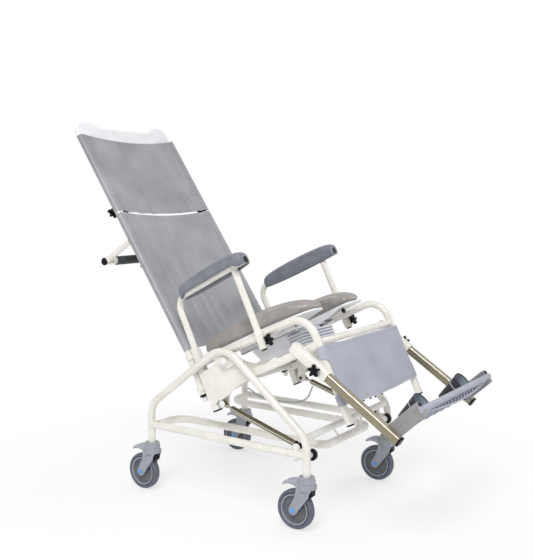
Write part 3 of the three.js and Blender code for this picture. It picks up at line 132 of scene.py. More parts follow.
def add_object(name, data):
    obj = bpy.data.objects.new(name, data)
    bpy.context.scene.collection.objects.link(obj)
    return obj


def make_camera():
    data = bpy.data.cameras.new("photo_camera")
    assign(data, sensor_width=36, lens=52.476, shift_y=0.00275, clip_end=200)
    camera = add_object("photo_camera", data)
    camera.location = (-2.32742, -1.60723, 1.00863)
    camera.rotation_euler = (math.radians(90 - 5.667), 0, math.radians(-55.20))
    bpy.context.scene.camera = camera


# Shells: each is points, in millimetres, and faces.
def unit(vector):
    return vector / np.linalg.norm(vector)


def loft(rings, joined=False, capped=True):
    count = len(rings[0])
    points = np.concatenate([np.asarray(r, float) for r in rings])
    faces = []
    for i in range(len(rings) if joined else len(rings) - 1):
        a = i * count
        b = ((i + 1) % len(rings)) * count
        faces += [(a + k, a + (k + 1) % count, b + (k + 1) % count, b + k) for k in range(count)]
    if capped and not joined:
        faces += [tuple(range(count))[::-1], tuple(range(len(points) - count, len(points)))]
    return points, faces


def circle(radius, sides=32):
    angles = (np.arange(sides) + 0.5) * 2 * math.pi / sides
    return np.stack([radius * np.cos(angles), radius * np.sin(angles)], 1)


def rectangle(width, height, corner=2.5, steps=4):
    points = []
    for quarter, (sx, sy) in enumerate(((1, 1), (-1, 1), (-1, -1), (1, -1))):
        cx = sx * (width / 2 - corner)
        cy = sy * (height / 2 - corner)
        for angle in (quarter + np.arange(steps + 1) / steps) * math.pi / 2:
            points.append((cx + corner * math.cos(angle), cy + corner * math.sin(angle)))
    return np.array(points)


def rounded(corners, bends, steps=14):
    """Stations along a bent tube: places with directions."""
    stations = [(corners[0], unit(corners[1] - corners[0]))]
    for i in range(1, len(corners) - 1):
        into = unit(corners[i] - corners[i - 1])
        out = unit(corners[i + 1] - corners[i])
        turn = math.acos(max(-1.0, min(1.0, float(into @ out))))
        bend = bends[i - 1] if hasattr(bends, "__len__") else bends
        to_centre = unit(out - into * float(into @ out))
        centre = corners[i] - into * bend * math.tan(turn / 2) + to_centre * bend
        for angle in turn * np.arange(steps + 1) / steps:
            c, s = math.cos(angle), math.sin(angle)
            stations.append((centre - to_centre * bend * c + into * bend * s, into * c + to_centre * s))
    stations.append((corners[-1], unit(corners[-1] - corners[-2])))
    return stations


def sweep(profile, stations, side):
    across = side
    rings = []
    for at, along in stations:
        across = unit(across - along * float(across @ along))
        rings.append(at + profile[:, :1] * across + profile[:, 1:2] * np.cross(across, along))
    return loft(rings)


def side_for(along):
    return Z if abs(along[0]) > 0.7 else X


def bar(profile, start, end, side):
    along = unit(end - start)
    return sweep(profile, [(start, along), (end, along)], side)


def slab(width, height, corner, start, end, side=X):
    return bar(rectangle(width, height, corner), start, end, side)


def rod(radius, start, end, sides=32):
    return bar(circle(radius, sides), start, end, side_for(unit(end - start)))


def soften(profile, amount, closed=False):
    """Rounds the corners of a radius and height profile."""
    profile = [np.array(p, float) for p in profile]
    result = []
    for i, p in enumerate(profile):
        if not closed and i in (0, len(profile) - 1):
            result.append(p)
            continue
        a, b = (p + unit(q - p) * min(amount, np.linalg.norm(q - p) * 0.45)
                for q in (profile[i - 1], profile[(i + 1) % len(profile)]))
        result += [(1 - t) ** 2 * a + 2 * t * (1 - t) * p + t * t * b for t in (0, 0.25, 0.5, 0.75, 1)]
    return result


def axes(axis):
    along = unit(np.asarray(axis, float))
    across = unit(side_for(along) - along * float(side_for(along) @ along))
    return along, across, np.cross(along, across)


def turned(profile, origin, axis, sides=48, soft=0.8):
    along, across, up = axes(axis)
    ring = circle(1, sides)
    steps = soften(profile, soft) if soft else profile
    return loft([origin + along * h + (ring[:, :1] * across + ring[:, 1:2] * up) * r for r, h in steps])


def turned_hoop(profile, origin, axis, sides=72, soft=0.8):
    along, across, up = axes(axis)
    steps = soften(profile, soft, True) if soft else profile
    return loft([np.array([origin + along * h + (across * c + up * s) * r for r, h in steps])
                 for c, s in circle(1, sides)], joined=True)


def drum(inner, outer, low, high, origin, axis, sides=48, soft=0.8, make=turned):
    """A plain cylinder with soft edges; its ends are flat from the inner to the outer radius."""
    return make([(inner, low), (outer, low), (outer, high), (inner, high)], origin, axis, sides, soft)


def collar(*measures):
    """A plain ring around an axis, open in the middle."""
    return drum(*measures, make=turned_hoop)


def bead(origin, axis, radius, thickness):
    """A weld bead or seal: a thin ring around an axis."""
    return turned_hoop([(radius + x, y) for x, y in circle(thickness, 10)], origin, axis, 48, 0)


def dome(radius, rise, origin, axis):
    angles = np.arange(8) * math.pi / 2 / 7.4
    profile = [(radius, -0.4), *((radius * math.cos(a), rise * math.sin(a)) for a in angles)]
    return turned(profile, origin, axis, 40, 0)


def plug_cap(radius, origin, axis, depth=5):
    return turned([(2, -2), (radius, -2), (radius, depth - 1), (radius - 1.6, depth), (radius * 0.3, depth)],
                  origin, axis, 36, 0.7)


def plate(outline, place, low, high):
    return loft([np.array([place(x, a, b) for a, b in outline]) for x in (low, high)])


def chaikin(points, rounds=2, closed=True):
    """Cuts the corners of an outline."""
    points = [np.array(p, float) for p in points]
    for _ in range(rounds):
        result = []
        for i in range(len(points) if closed else len(points) - 1):
            a, b = points[i], points[(i + 1) % len(points)]
            result += [a * 0.75 + b * 0.25, a * 0.25 + b * 0.75]
        points = result if closed else [points[0], *result, points[-1]]
    return points


def spline(points, steps):
    """Catmull-Rom through the points."""
    pts = [np.asarray(p, float) for p in points]
    pts = [2 * pts[0] - pts[1], *pts, 2 * pts[-1] - pts[-2]]
    places = []
    for i in range(1, len(pts) - 2):
        a, b, c, d = pts[i - 1:i + 3]
        for t in np.arange(steps) / steps:
            places.append(0.5 * ((2 * b) + (c - a) * t + (2 * a - 5 * b + 4 * c - d) * t * t
                                 + (3 * b - a - 3 * c + d) * t ** 3))
    return places + [pts[-2]]


def along_path(places):
    """The places with the path's directions."""
    last = len(places) - 1
    return [(at, unit(places[min(i + 1, last)] - places[max(i - 1, 0)])) for i, at in enumerate(places)]


def upright(along):
    """The direction square to X and to the given one that points up."""
    up = np.cross(X, along)
    return up if up[2] > 0 else -up


# Materials.
WHITE = (1, 1, 1, 1)


def srgb(hexed):
    """The linear colour of six hex digits, opaque."""
    values = [int(hexed[i:i + 2], 16) / 255 for i in (0, 2, 4)]
    return (*(v / 12.92 if v <= 0.04045 else ((v + 0.055) / 1.055) ** 2.4 for v in values), 1)


def feed(tree, shader, inputs):
    """Links each input to the output given for it, or sets its value."""
    for key, value in inputs.items():
        if isinstance(value, bpy.types.NodeSocket):
            tree.links.new(value, shader.inputs[key])
        else:
            shader.inputs[key].default_value = value


def node(tree, kind, inputs=None, **settings):
    made = assign(tree.nodes.new("ShaderNode" + kind), **settings)
    feed(tree, made, inputs or {})
    return made


def relief(tree, height, strength, distance):
    return node(tree, "Bump", {"Strength": strength, "Distance": distance, "Height": height}).outputs["Normal"]


def finish(name, dark, light, rough, grain, bump=0.0, bump_scale=900.0, metal=0.0, coat=0.0, spread=0.06,
           sheen=0.0, specular=0.5, edge_highlight=None):
    """A surface with colour variation, uneven roughness and fine relief, all from the object's own places; a
    lighter colour given for sharp convex edges is a painted highlight on them.
    """
    material = assign(bpy.data.materials.new(name), use_nodes=True)
    tree = material.node_tree
    coords = node(tree, "TexCoord").outputs["Object"]
    broad = node(tree, "TexNoise", {"Scale": grain, "Detail": 5, "Vector": coords}).outputs["Fac"]
    ramp = node(tree, "ValToRGB", {"Fac": broad})
    for element, position, hexed in zip(ramp.color_ramp.elements, (0.32, 0.68), (dark, light)):
        assign(element, position=position, color=srgb(hexed))
    colour = ramp.outputs["Color"]
    # Painted highlight: sharp convex edges are mixed towards the lighter colour given for them.
    if edge_highlight:
        edge = node(tree, "NewGeometry").outputs["Pointiness"]
        band = node(tree, "MapRange", {"From Min": 0.5, "From Max": 0.62, "To Max": 0.5, "Value": edge})
        mix = {"Factor": band.outputs["Result"], "A": colour, "B": srgb(edge_highlight)}
        colour = node(tree, "Mix", mix, data_type="RGBA").outputs["Result"]
    patches = node(tree, "MapRange", {"From Min": 0.3, "From Max": 0.7, "To Min": rough - spread,
                                      "To Max": rough + spread, "Value": broad})
    shader = tree.nodes["Principled BSDF"]
    feed(tree, shader, {"Base Color": colour, "Roughness": patches.outputs["Result"], "Metallic": metal,
                        "Coat Weight": coat, "Coat Roughness": 0.12, "Sheen Weight": sheen,
                        "Specular IOR Level": specular})
    if bump:
        fine = node(tree, "TexNoise", {"Scale": bump_scale, "Detail": 3, "Vector": coords}).outputs["Fac"]
        feed(tree, shader, {"Normal": relief(tree, fine, bump, 0.0004)})
    return material


def weave(name, dark, light, rough, sheen):
    """Vinyl-coated mesh cloth: fine warp and weft, broad soft shade changes and a slight shine."""
    material = finish(name, dark, light, rough, 9, spread=0.07, sheen=sheen, coat=0.08)
    tree = material.node_tree
    coords = node(tree, "TexCoord").outputs["Object"]
    waves = [node(tree, "TexWave", {"Scale": 75, "Distortion": 0.4, "Vector": coords},
                  bands_direction=direction).outputs["Fac"] for direction in ("X", "Z")]
    both = node(tree, "Math", dict(enumerate(waves)), operation="MULTIPLY").outputs["Value"]
    feed(tree, tree.nodes["Principled BSDF"], {"Normal": relief(tree, both, 0.25, 0.0003)})
    return material


def paint_metal_reflections(material, across, bands):
    """Paints reflections and shade onto polished metal by which way it faces, as it would mirror a bright room with
    dark corners: painted highlights and painted dark streaks.
    """
    tree = material.node_tree
    normal = node(tree, "TexCoord").outputs["Normal"]
    facing = node(tree, "VectorMath", {0: normal, 1: tuple(across)}, operation="DOT_PRODUCT")
    place = node(tree, "MapRange", {"From Min": -1, "Value": facing.outputs["Value"]})
    ramp = node(tree, "ValToRGB", {"Fac": place.outputs["Result"]})
    elements = ramp.color_ramp.elements
    for i, (position, hexed) in enumerate(bands):
        element = elements[i] if i < 2 else elements.new(position)
        assign(element, position=position, color=srgb(hexed))
    feed(tree, tree.nodes["Principled BSDF"], {"Base Color": ramp.outputs["Color"]})


def make_finishes():
    return {
        # The lighter edge colours given below are painted highlights on sharp convex edges.
        "enamel": finish("cream_enamel", "e6e2d8", "f0ede6", 0.26, 14, 0.12, 500, coat=0.4, edge_highlight="f8f6f2"),
        "white_plastic": finish("white_plastic_skin", "e8e9ea", "f4f5f6", 0.32, 30, 0.08),
        "castor_plastic": finish("castor_grey", "92969e", "a6a9b1", 0.5, 80, 0.35, 1400, edge_highlight="b4b8c2"),
        "wheel_dark": finish("wheel_disc_grey", "5c5d62", "707178", 0.5, 90, 0.3),
        "tread": finish("tyre_rubber", "565b68", "686e7c", 0.62, 70, 0.4, 1500, edge_highlight="7d8494"),
        "pale_plastic": finish("pedal_plastic", "959aa4", "aaaeb7", 0.46, 70, 0.3, edge_highlight="c0c4cd"),
        "hub_blue": finish("hub_cap_blue", "5a97dd", "6fa9e8", 0.4, 200, 0.1),
        "black_plastic": finish("black_moulding", "020203", "060608", 0.3, 120, 0.15, 1800, specular=0.22,
                                edge_highlight="0e0e12"),
        "black_rubber": finish("black_rubber_skin", "030304", "08080a", 0.24, 90, 0.1, specular=0.22),
        "grip_rubber": finish("grip_rubber", "3c3f3f", "4e5251", 0.6, 90, 0.5),
        "strut_metal": finish("strut_bronze", "8d7f6b", "b3a48d", 0.22, 25, metal=0.95, spread=0.05),
        "chrome": finish("strut_rod_chrome", "c9c6c0", "dedbd6", 0.12, 60, metal=1.0, spread=0.03),
        "champagne": finish("champagne_anodised", "9a917c", "b3aa95", 0.3, 22, 0.1, 1200, metal=0.8),
        "slate_pad": finish("slate_foam_skin", "70737e", "82858f", 0.38, 40, 0.6, 1100, sheen=0.12),
        "taupe_vinyl": finish("taupe_foam_skin", "928c88", "a59f9b", 0.34, 24, 0.5, 800, sheen=0.1,
                              coat=0.25),
        "grey_vinyl": weave("grey_mesh_vinyl", "8f9094", "a3a4a9", 0.36, 0.12),
        "lilac_vinyl": weave("lilac_mesh_vinyl", "a3a5b4", "b6b8c6", 0.5, 0.15),
        "pan_plastic": finish("pan_polypropylene", "dcdfe6", "ebecf1", 0.34, 18, 0.1, edge_highlight="f4f5f8"),
        # Painted shade: the next two looks stand for shade in the pan's grooves and under the footplate's ribs.
        "pan_painted_groove_shade": finish("pan_rib_painted_shade_grey", "a9adba", "b9bcc8", 0.5, 18, 0.1),
        "lattice_painted_shade": finish("lattice_painted_shade_grey", "4c4e5c", "5c5e6c", 0.6, 40, 0.2),
        "plate_plastic": finish("footplate_plastic", "9c9fae", "b0b3c1", 0.48, 40, 0.3, edge_highlight="c9ccd8"),
        "cheek_plastic": finish("cheek_plastic", "868384", "969393", 0.5, 50, 0.3, edge_highlight="b4b6c0"),
        "strap_black": weave("strap_webbing", "1b1b20", "2a2a31", 0.6, 0.2),
        # Painted reflection: the next look stands for the sheen on the black heel straps.
        "strap_painted_reflection": weave("strap_painted_reflection_grey", "8b99a4", "a3b0ba", 0.42, 0.12),
        "cable_grey": finish("cable_sheath_grey", "a9aaac", "c3c4c6", 0.4, 90, 0.1),
        "stitch": finish("stitch_thread", "cfd0da", "e6e7ee", 0.7, 400, 0.4),
        "stitch_grey": finish("stitch_thread_grey", "7f828a", "92959c", 0.7, 400, 0.4),
        "panel": finish("head_panel_white", "dedfe3", "ecedf0", 0.4, 12, 0.1),
    }


# Pieces.
def make_mesh(name, shells):
    mesh = bmesh.new()
    for points, faces in shells:
        verts = [mesh.verts.new(p * MM) for p in np.asarray(points)]
        for face in faces:
            mesh.faces.new([verts[i] for i in face])
    bmesh.ops.recalc_face_normals(mesh, faces=mesh.faces)
    data = bpy.data.meshes.new(name)
    mesh.to_mesh(data)
    mesh.free()
    return add_object(name, data)


def smooth(obj, degrees):
    for polygon in obj.data.polygons:
        polygon.use_smooth = True
    obj.data.set_sharp_from_angle(angle=math.radians(degrees))


def piece(name, shells, look, body, replaced=None, slot=None, bevel=0.7, sharp=38):
    """One visible piece; the slot argument is not used."""
    obj = make_mesh(name, shells)
    obj.data.materials.append(LOOKS[look])
    smooth(obj, sharp)
    if bevel:
        assign(obj.modifiers.new("edges", "BEVEL"), width=bevel * MM, segments=2, limit_method="ANGLE",
               angle_limit=math.radians(sharp))
    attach(obj, body)
    slot or look
    if replaced:
        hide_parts(replaced)
    return obj


def side_frame(name, sign):
    at = mirrored(base, sign)
    out = X * sign
    corners = [at(HOOP_X, y, z) for y, z in ((FRONT_POST_Y, 166), (FRONT_POST_Y, 284), (0, 546.4),
                                             (REAR_POST_Y, 304.8), (REAR_POST_Y, 166))]
    hoop = sweep(circle(TUBE), rounded(corners, [72, 86, 72]), X)
    rail = rod(TUBE, at(HOOP_X, FRONT_POST_Y, RAIL_Z), at(HOOP_X, REAR_POST_Y, RAIL_Z))
    outline = chaikin([(-56, 505), (-22, 469), (22, 469), (56, 505), (30, 524), (0, 530), (-30, 524)])
    web = plate(outline, at, 262, 268)
    boss = drum(2, 15, 0, 19, at(260, 0, PIVOT_Z), out)
    lug = rod(13, at(262, *STRUT_FOOT), at(268, *STRUT_FOOT))
    pin = rod(6, at(236, *STRUT_FOOT), at(266, *STRUT_FOOT))
    stems = [turned([(5.5, 140), (5.5, 163.4), (13, 163.4), (13, 166.4), (5, 170)], at(HOOP_X, y, 0), Z)
             for y in (FRONT_POST_Y, REAR_POST_Y)]
    welds = [bead(at(HOOP_X, FRONT_POST_Y + TUBE - 0.6, RAIL_Z), Y, TUBE + 0.3, 1.4),
             bead(at(HOOP_X, REAR_POST_Y - TUBE + 0.6, RAIL_Z), Y, TUBE + 0.3, 1.4),
             bead(at(262, 0, PIVOT_Z), X, 15.2, 1.2), bead(at(268, 0, PIVOT_Z), X, 15.2, 1.2),
             bead(at(268, *STRUT_FOOT), X, 12.6, 1.1)]
    piece(f"side_frame_{name}", [hoop, rail, web, boss, lug, pin, *stems, *welds], "enamel", "base",
          f"base_side_frame_{name}")
    disc = drum(2, 11, 0, 24, at(246, *BUMPER), out, 56, 1.6)
    caps = [dome(11, 8, at(267.7, *STRUT_FOOT), out), dome(11, 16, at(HOOP_X, -278, 227), -Z)]
    piece(f"side_frame_caps_{name}", [disc, *caps], "white_plastic", "base", slot="enamel", bevel=0)
    cap = dome(10.5, 6, at(279.3, 0, PIVOT_Z), out)
    shaft = turned([(4, 223.2), (10, 223.2), (10, 229.2), (6, 229.2), (6, 279.3), (4, 279.3)], at(0, 0, PIVOT_Z),
                   out)
    piece(f"tilt_pin_{name}", [cap, shaft], "white_plastic", "base", f"tilt_pivot_pin_{name}", bevel=0)
    rings = []
    for share in np.arange(33) / 32:
        angle = math.radians(-95 + share * 190)
        away = np.array([0, -math.cos(angle), math.sin(angle)])
        thick = 5.2 + 5.6 * math.sin(math.pi * share) ** 0.7
        centre = at(252.75, *BUMPER) + away * (11.4 + thick / 2)
        rings.append(np.array([centre + X * a + away * b for a, b in rectangle(13.5, thick, 2.2)]))
    piece(f"bumper_{name}", [loft(rings)], "black_rubber", "base", f"front_bumper_{name}", bevel=0.6)


def floor_frame():
    end = HOOP_X - TUBE - 0.3
    corners = [base(x, *place) for x, place in ((-end, LOOP_REAR), (-150, LOOP_REAR), (-150, LOOP_FRONT),
                                                (150, LOOP_FRONT), (150, LOOP_REAR), (end, LOOP_REAR))]
    loop = sweep(circle(TUBE), rounded(corners, [65, 40, 40, 65]), Z)
    upper = rod(SLIM_TUBE, base(-end, *UPPER_BAR), base(end, *UPPER_BAR))
    ties = [rod(3.5, base(s * 110, *UPPER_BAR), base(s * 47, *LOOP_FRONT), 16) for s in PAIR]
    welds = [bead(base(s * (end - 0.5), *place), X, r, 1.2) for s in PAIR
             for place, r in ((LOOP_REAR, 12.6), (UPPER_BAR, 11.1))]
    piece("floor_frame", [loop, upper, *ties, *welds], "enamel", "base", "base_floor_frame")


def doubled(half):
    """A profile with its mirror image in height."""
    return half + [(r, -h) for r, h in reversed(half)]


def caster(name, x, y):
    at = lambda dx, dy, z: base(x + dx, y + dy, z)
    fork, wheel = f"fork_{name}", f"wheel_{name}"
    housing = turned([(3, 133.3), (28, 133.3), (28, 149), (27, 150), (27, 152), (28, 153), (28, 159), (25.6, 161.6),
                      (25.6, 169.6), (24, 171.4), (14.2, 171.4), (14.2, 163), (3, 163)], base(x, y, 0), Z, 64, 0.9)
    rim = [(HUB[0] + 15 * math.cos(a), HUB[1] + 15 * math.sin(a))
           for a in np.linspace(math.radians(200), math.radians(395), 16)]
    outline = [(-25, 148), (-25, 134), (-20, 124), (-17, 112), *rim, (35, 100), (28, 122), (27, 148)]
    legs = [plate(outline, at, s * 15.4, s * 20.8) for s in PAIR]
    bosses = [drum(2, 13, 0, 1.6, at(s * 20.6, *HUB), X * s, 40, 0.6) for s in PAIR]
    bridge = plate([(-17, 133), (25, 133), (25, 148), (20, 152), (-13, 152), (-17, 148)], at, -20.2, 20.2)
    axle = rod(5, at(-21, *HUB), at(21, *HUB), 24)
    piece(fork, [housing, bridge, axle, *legs, *bosses], "castor_plastic", fork, f"caster_{fork}", bevel=1.3)
    caps = [dome(9, 2.4, at(s * 22.2, *HUB), X * s) for s in PAIR]
    piece(f"hub_caps_{name}", caps, "hub_blue", fork, slot="pale_plastic", bevel=0)
    block = plate([(-24, 132), (-16, 133), (-9, 131), (-11, 112), (-19, 109), (-24, 116)], at, -13, 13)
    rubs = [plate([(-25, z), (-23, z), (-23, z + 3), (-25, z + 3)], at, -12, 12) for z in (114, 120, 126)]
    piece(f"brake_block_{name}", [block, *rubs], "black_rubber", fork, bevel=1.2)
    centre = at(0, *HUB)
    disc = doubled([(5.6, -14.5), (15, -14.5), (16.5, -6), (21, -4.5), (38, -4.5), (41.5, -9), (47, -11),
                    (50, -11.5)])
    spokes = []
    for a in np.arange(9) * 2 * math.pi / 9:
        out = np.array([0, math.cos(a), math.sin(a)])
        spokes.append(slab(10.6, 2.4, 0.8, centre + out * 16, centre + out * 40))
    piece(wheel, [turned_hoop(disc, centre, X, 64), *spokes], "wheel_dark", wheel, f"caster_{wheel}",
          "castor_plastic", bevel=0)
    rings = [turned_hoop([(44.4, s * 10.4), (48.2, s * 11.3), (48.2, s * 12.6), (44.4, s * 11.8)], centre, X,
                         64, 0.5) for s in PAIR]
    piece(f"rim_ring_{name}", rings, "pale_plastic", wheel, slot="castor_plastic", bevel=0)
    tread = doubled([(50.3, -9.4), (53, -12.6), (56, -13.8), (59, -13.2), (61.3, -10.8), (62.5, -6.5)])
    tyre = turned_hoop(tread, centre, X, 96, 1.4)
    piece(f"tyre_{name}", [tyre], "tread", wheel, f"caster_tyre_{name}", bevel=0)
    pedal(name, x, y)


def pedal_top(t):
    """The run and the height of the pedal's top, from its root at 0 to its tip at 1."""
    low, high = PEDAL_RUN
    return low + (high - low) * t, 156 - 15 * t ** 1.5 + 5 * math.sin(math.pi * t)


def pedal(name, x, y):
    edge = 1.6
    rings = []
    for t in np.arange(29) / 28:
        run, top = pedal_top(t)
        half = 14 + 4 * math.sin(math.pi * t / 2)
        half *= math.sqrt(max(0.03, 1 - max(0, (t - 0.78) / 0.22) ** 2.4 * 0.8))
        wave = 1.8 * (0.5 - 0.5 * math.cos(2 * math.pi * 6 * t)) if t > 0.33 else 0
        low = top - 6.4 - 17 * (1 - t) ** 1.6 - wave
        section = [(edge - half, low), (half - edge, low), (half, low + edge), (half, top - edge),
                   (half - edge, top), (0, top + 0.5), (edge - half, top), (-half, top - edge), (-half, low + edge)]
        rings.append(np.array([base(x + across, y + run, z) for across, z in section]))
    treads = []
    for t in (0.55, 0.66, 0.77, 0.88):
        run, top = pedal_top(t)
        treads.append(rod(1.1, base(x - 11, y + run, top + 0.2), base(x + 11, y + run, top + 0.2), 12))
    piece(f"pedal_{name}", [loft(rings), *treads], "pale_plastic", f"pedal_{name}", f"brake_pedal_{name}",
          bevel=0, sharp=60)


def seat_rail(name, sign):
    at = mirrored(seat, sign)
    tube = sweep(circle(TUBE), rounded([at(RAIL_X, -105.2, 28), at(RAIL_X, CALF_U, 28),
                                        at(RAIL_X, CALF_U, CALF_FOOT_V)], 68, 18), X)
    ring = collar(11.4, 14.8, -16, 44, at(ARM_POST_X, ARM_POST_U, 0), UPWARD, 48, 1.2)
    neck = drum(3, 8, 0, 5, at(ARM_POST_X, 180, 3), FORWARD, 32, 0.5)
    fillet = plate(chaikin([(150, 20), (186, 20), (182, 36), (154, 36)], 1), at, 252, 257)
    weld = bead(at(ARM_POST_X - 13.5, ARM_POST_U, 28), X, 7.5, 1.2)
    piece(f"seat_rail_tube_{name}", [tube, ring, neck, fillet, weld], "enamel", "seat", f"seat_rail_{name}")
    piece(f"calf_tube_plug_{name}", [plug_cap(11.9, at(RAIL_X, CALF_U, CALF_FOOT_V), -UPWARD)], "black_plastic",
          "seat", slot="enamel", bevel=0)


LEG_ALONG = unit(512 * FORWARD - 859 * UPWARD)


def leg_point(sign, distance, x=280):
    """A place up the leg rod's axis, or beside it, from the rod's lower end."""
    return seat(sign * x, 497, -413) - LEG_ALONG * distance


def box_tube(size, start, end):
    """A square tube with an open, visible end."""
    up = np.cross(X, unit(end - start))
    outer, inner = rectangle(size, size, 3), rectangle(25.6, 25.6, 1.6)
    return loft([at + profile[:, :1] * X + profile[:, 1:2] * up
                 for profile, at in ((outer, start), (outer, end), (inner, end), (inner, start))], joined=True)


def mechanism_side(name, sign):
    at = mirrored(seat, sign)
    out = X * sign
    lever_u, beam_v = LEVER
    pin_u, pin_v = STRUT_PIN
    post = slab(25, 25, 3, at(RAIL_X, lever_u, LEVER_FOOT_V), at(RAIL_X, lever_u, 80))
    beam = slab(24.6, 24.6, 3, at(RAIL_X, *LEVER), at(RAIL_X, CALF_U, beam_v))
    outline = chaikin([
        (-62, -4), (-40, 10), (-14, 17), (10, 15), (30, 0), (55, -26), (90, -46), (137, -58.5), (137, -83.5),
        (-40, -92), (-62, -106), (-70, -126), (-78, -136), (-92, -136), (-100, -124), (-95, -108), (-80, -84),
        (-70, -50)])
    web = plate(outline, at, 229.5, 235.5)
    folded = sweep(rectangle(3, 3, 0.8), along_path([at(236, a, b) for a, b in [*outline, outline[0]]]), X)
    boss = drum(6.3, 14, 0, 30, at(229.5, 0, 0), out)
    ring = bead(at(235.6, 0, 0), X, 14.2, 1.2)
    # The outer cover plate has a bite around the strut's pin.
    bite = [(pin_u + 15.5 * math.cos(a), pin_v + 15.5 * math.sin(a))
            for a in np.radians(np.linspace(53, 143, 13))]
    cover = plate(soften([
        (-129, -3), (-96, 1), (-66, 3), (-40, 10), (-14, 17), (10, 15), (30, 0), (52, -28), (72, -57),
        (137, -58.5), (137, -83.5), (74, -83.5), (14, -90), (-58, -108), *bite, (-129, -118)], 5, True),
        at, 256.2, 259.5)
    pin_ring = collar(9.6, 12.5, -0.8, 6.8, at(229.5, *STRUT_PIN), out, 40, 0.6)
    clamps = []
    for v in (62, -48):
        clamps += [collar(11.2, 14.5, -9, 9, at(BACK_X, BACK_U, v), UPWARD, 44, 1),
                   slab(12.5, 18, 2, at(BACK_X, -143, v), at(BACK_X, lever_u, v)),
                   drum(1, 4.6, 0, 3, at(BACK_X + 6, LEVER_FOOT_V, v), out, 6, 0.4)]
    link = slab(26, 24, 2, at(250, *LINK), at(268, *LINK), Y)
    sleeve = box_tube(31, leg_point(sign, 425.5), leg_point(sign, 279.4))
    lip = box_tube(32.4, leg_point(sign, 286), leg_point(sign, 278.6))
    nut = drum(3, 8, 0, 3.2, leg_point(sign, 317, 295.2), out, 32, 0.6)
    welds = [bead(at(RAIL_X, lever_u + 12.6, beam_v), FORWARD, 14, 1.2), bead(at(264.6, *LINK), X, 13, 1.2)]
    piece(f"mechanism_{name}", [post, beam, web, folded, cover, boss, ring, pin_ring, *clamps, link, sleeve, lip,
                                nut, *welds], "enamel", "seat", f"mechanism_side_{name}")
    foot = slab(23.8, 23.8, 2, at(RAIL_X, lever_u, -131), at(RAIL_X, lever_u, -138.4))
    brim = slab(25.4, 25.4, 2.6, at(RAIL_X, lever_u, -134.1), at(RAIL_X, lever_u, -137))
    piece(f"lever_plug_{name}", [foot, brim], "black_plastic", "seat", slot="enamel", bevel=0.6)


def cross_tubes():
    end = RAIL_X - TUBE - 0.3
    for name, radius, u, v, weld, replaced in (
            ("calf", SLIM_TUBE, CALF_U, -64, 11.2, "calf_cross_tube"),
            ("rear", TUBE, LEVER[0], -62, 12.6, "rear_cross_tube")):
        tube = rod(radius, seat(-end, u, v), seat(end, u, v))
        welds = [bead(seat(s * (end - 0.6), u, v), X, weld, 1.2) for s in PAIR]
        piece(f"{name}_crossbar", [tube, *welds], "enamel", "seat", replaced)


def star_knob(name, face, axis, body):
    along, across, up = axes(axis)
    ring = []
    for angle in np.arange(100) * 2 * math.pi / 100:
        radius = 8.8 + 11.2 * ((1 + math.cos(5 * angle)) / 2) ** 0.9
        ring.append(across * radius * math.cos(angle) + up * radius * math.sin(angle))
    head = loft([face + along * height + np.array(ring) * scale
                 for scale, height in ((0.8, 6.8), (0.95, 7.4), (1, 9.4), (1, 17.4), (0.95, 19.4), (0.8, 20),
                                       (0.5, 20.4))])
    neck = drum(2, 7.5, 0.3, 7.2, face, axis, 32, 0.6)
    hub = turned([(2, 19.6), (6.4, 19.6), (6.4, 21.6), (4.6, 22.4), (2, 21.2)], face, axis, 32, 0.4)
    piece(name, [head, neck, hub], "black_plastic", body, body, bevel=0, sharp=50)


def arm_axis(u):
    """How far out the arm tube runs, from its rear end to its front post."""
    return RAIL_X + (u - ARM_REAR_U) / (ARM_POST_U - ARM_REAR_U) * (ARM_POST_X - RAIL_X)


def arm(name, sign):
    at = lambda u, v: seat(sign * arm_axis(u), u, v)
    body, front, post = f"arm_{name}", at(226, ARM_V), at(ARM_POST_U, -18)
    bow = sweep(circle(SLIM_TUBE), rounded([at(ARM_REAR_U, -36), at(ARM_REAR_U, ARM_V), front], 46, 18), X)
    leg = rod(SLIM_TUBE, post, at(ARM_POST_U, ARM_V))
    weld = bead(at(ARM_POST_U, 252.5), UPWARD, SLIM_TUBE, 1.3)
    piece(f"arm_tube_{name}", [bow, leg, weld], "enamel", body, f"arm_frame_{name}")
    caps = [plug_cap(10.4, front, unit(front - at(120, ARM_V)), 2.4), plug_cap(10.2, post, -UPWARD, 4),
            plug_cap(9.8, at(ARM_REAR_U, -33), -UPWARD, 2.6)]
    piece(f"arm_tube_plugs_{name}", caps, "black_plastic", body, bevel=0)
    arm_pad(name, sign)
    star_knob(f"arm_star_{name}", seat(sign * ARM_POST_X, ARM_POST_U + 14.8, 3), FORWARD, f"arm_knob_{name}")


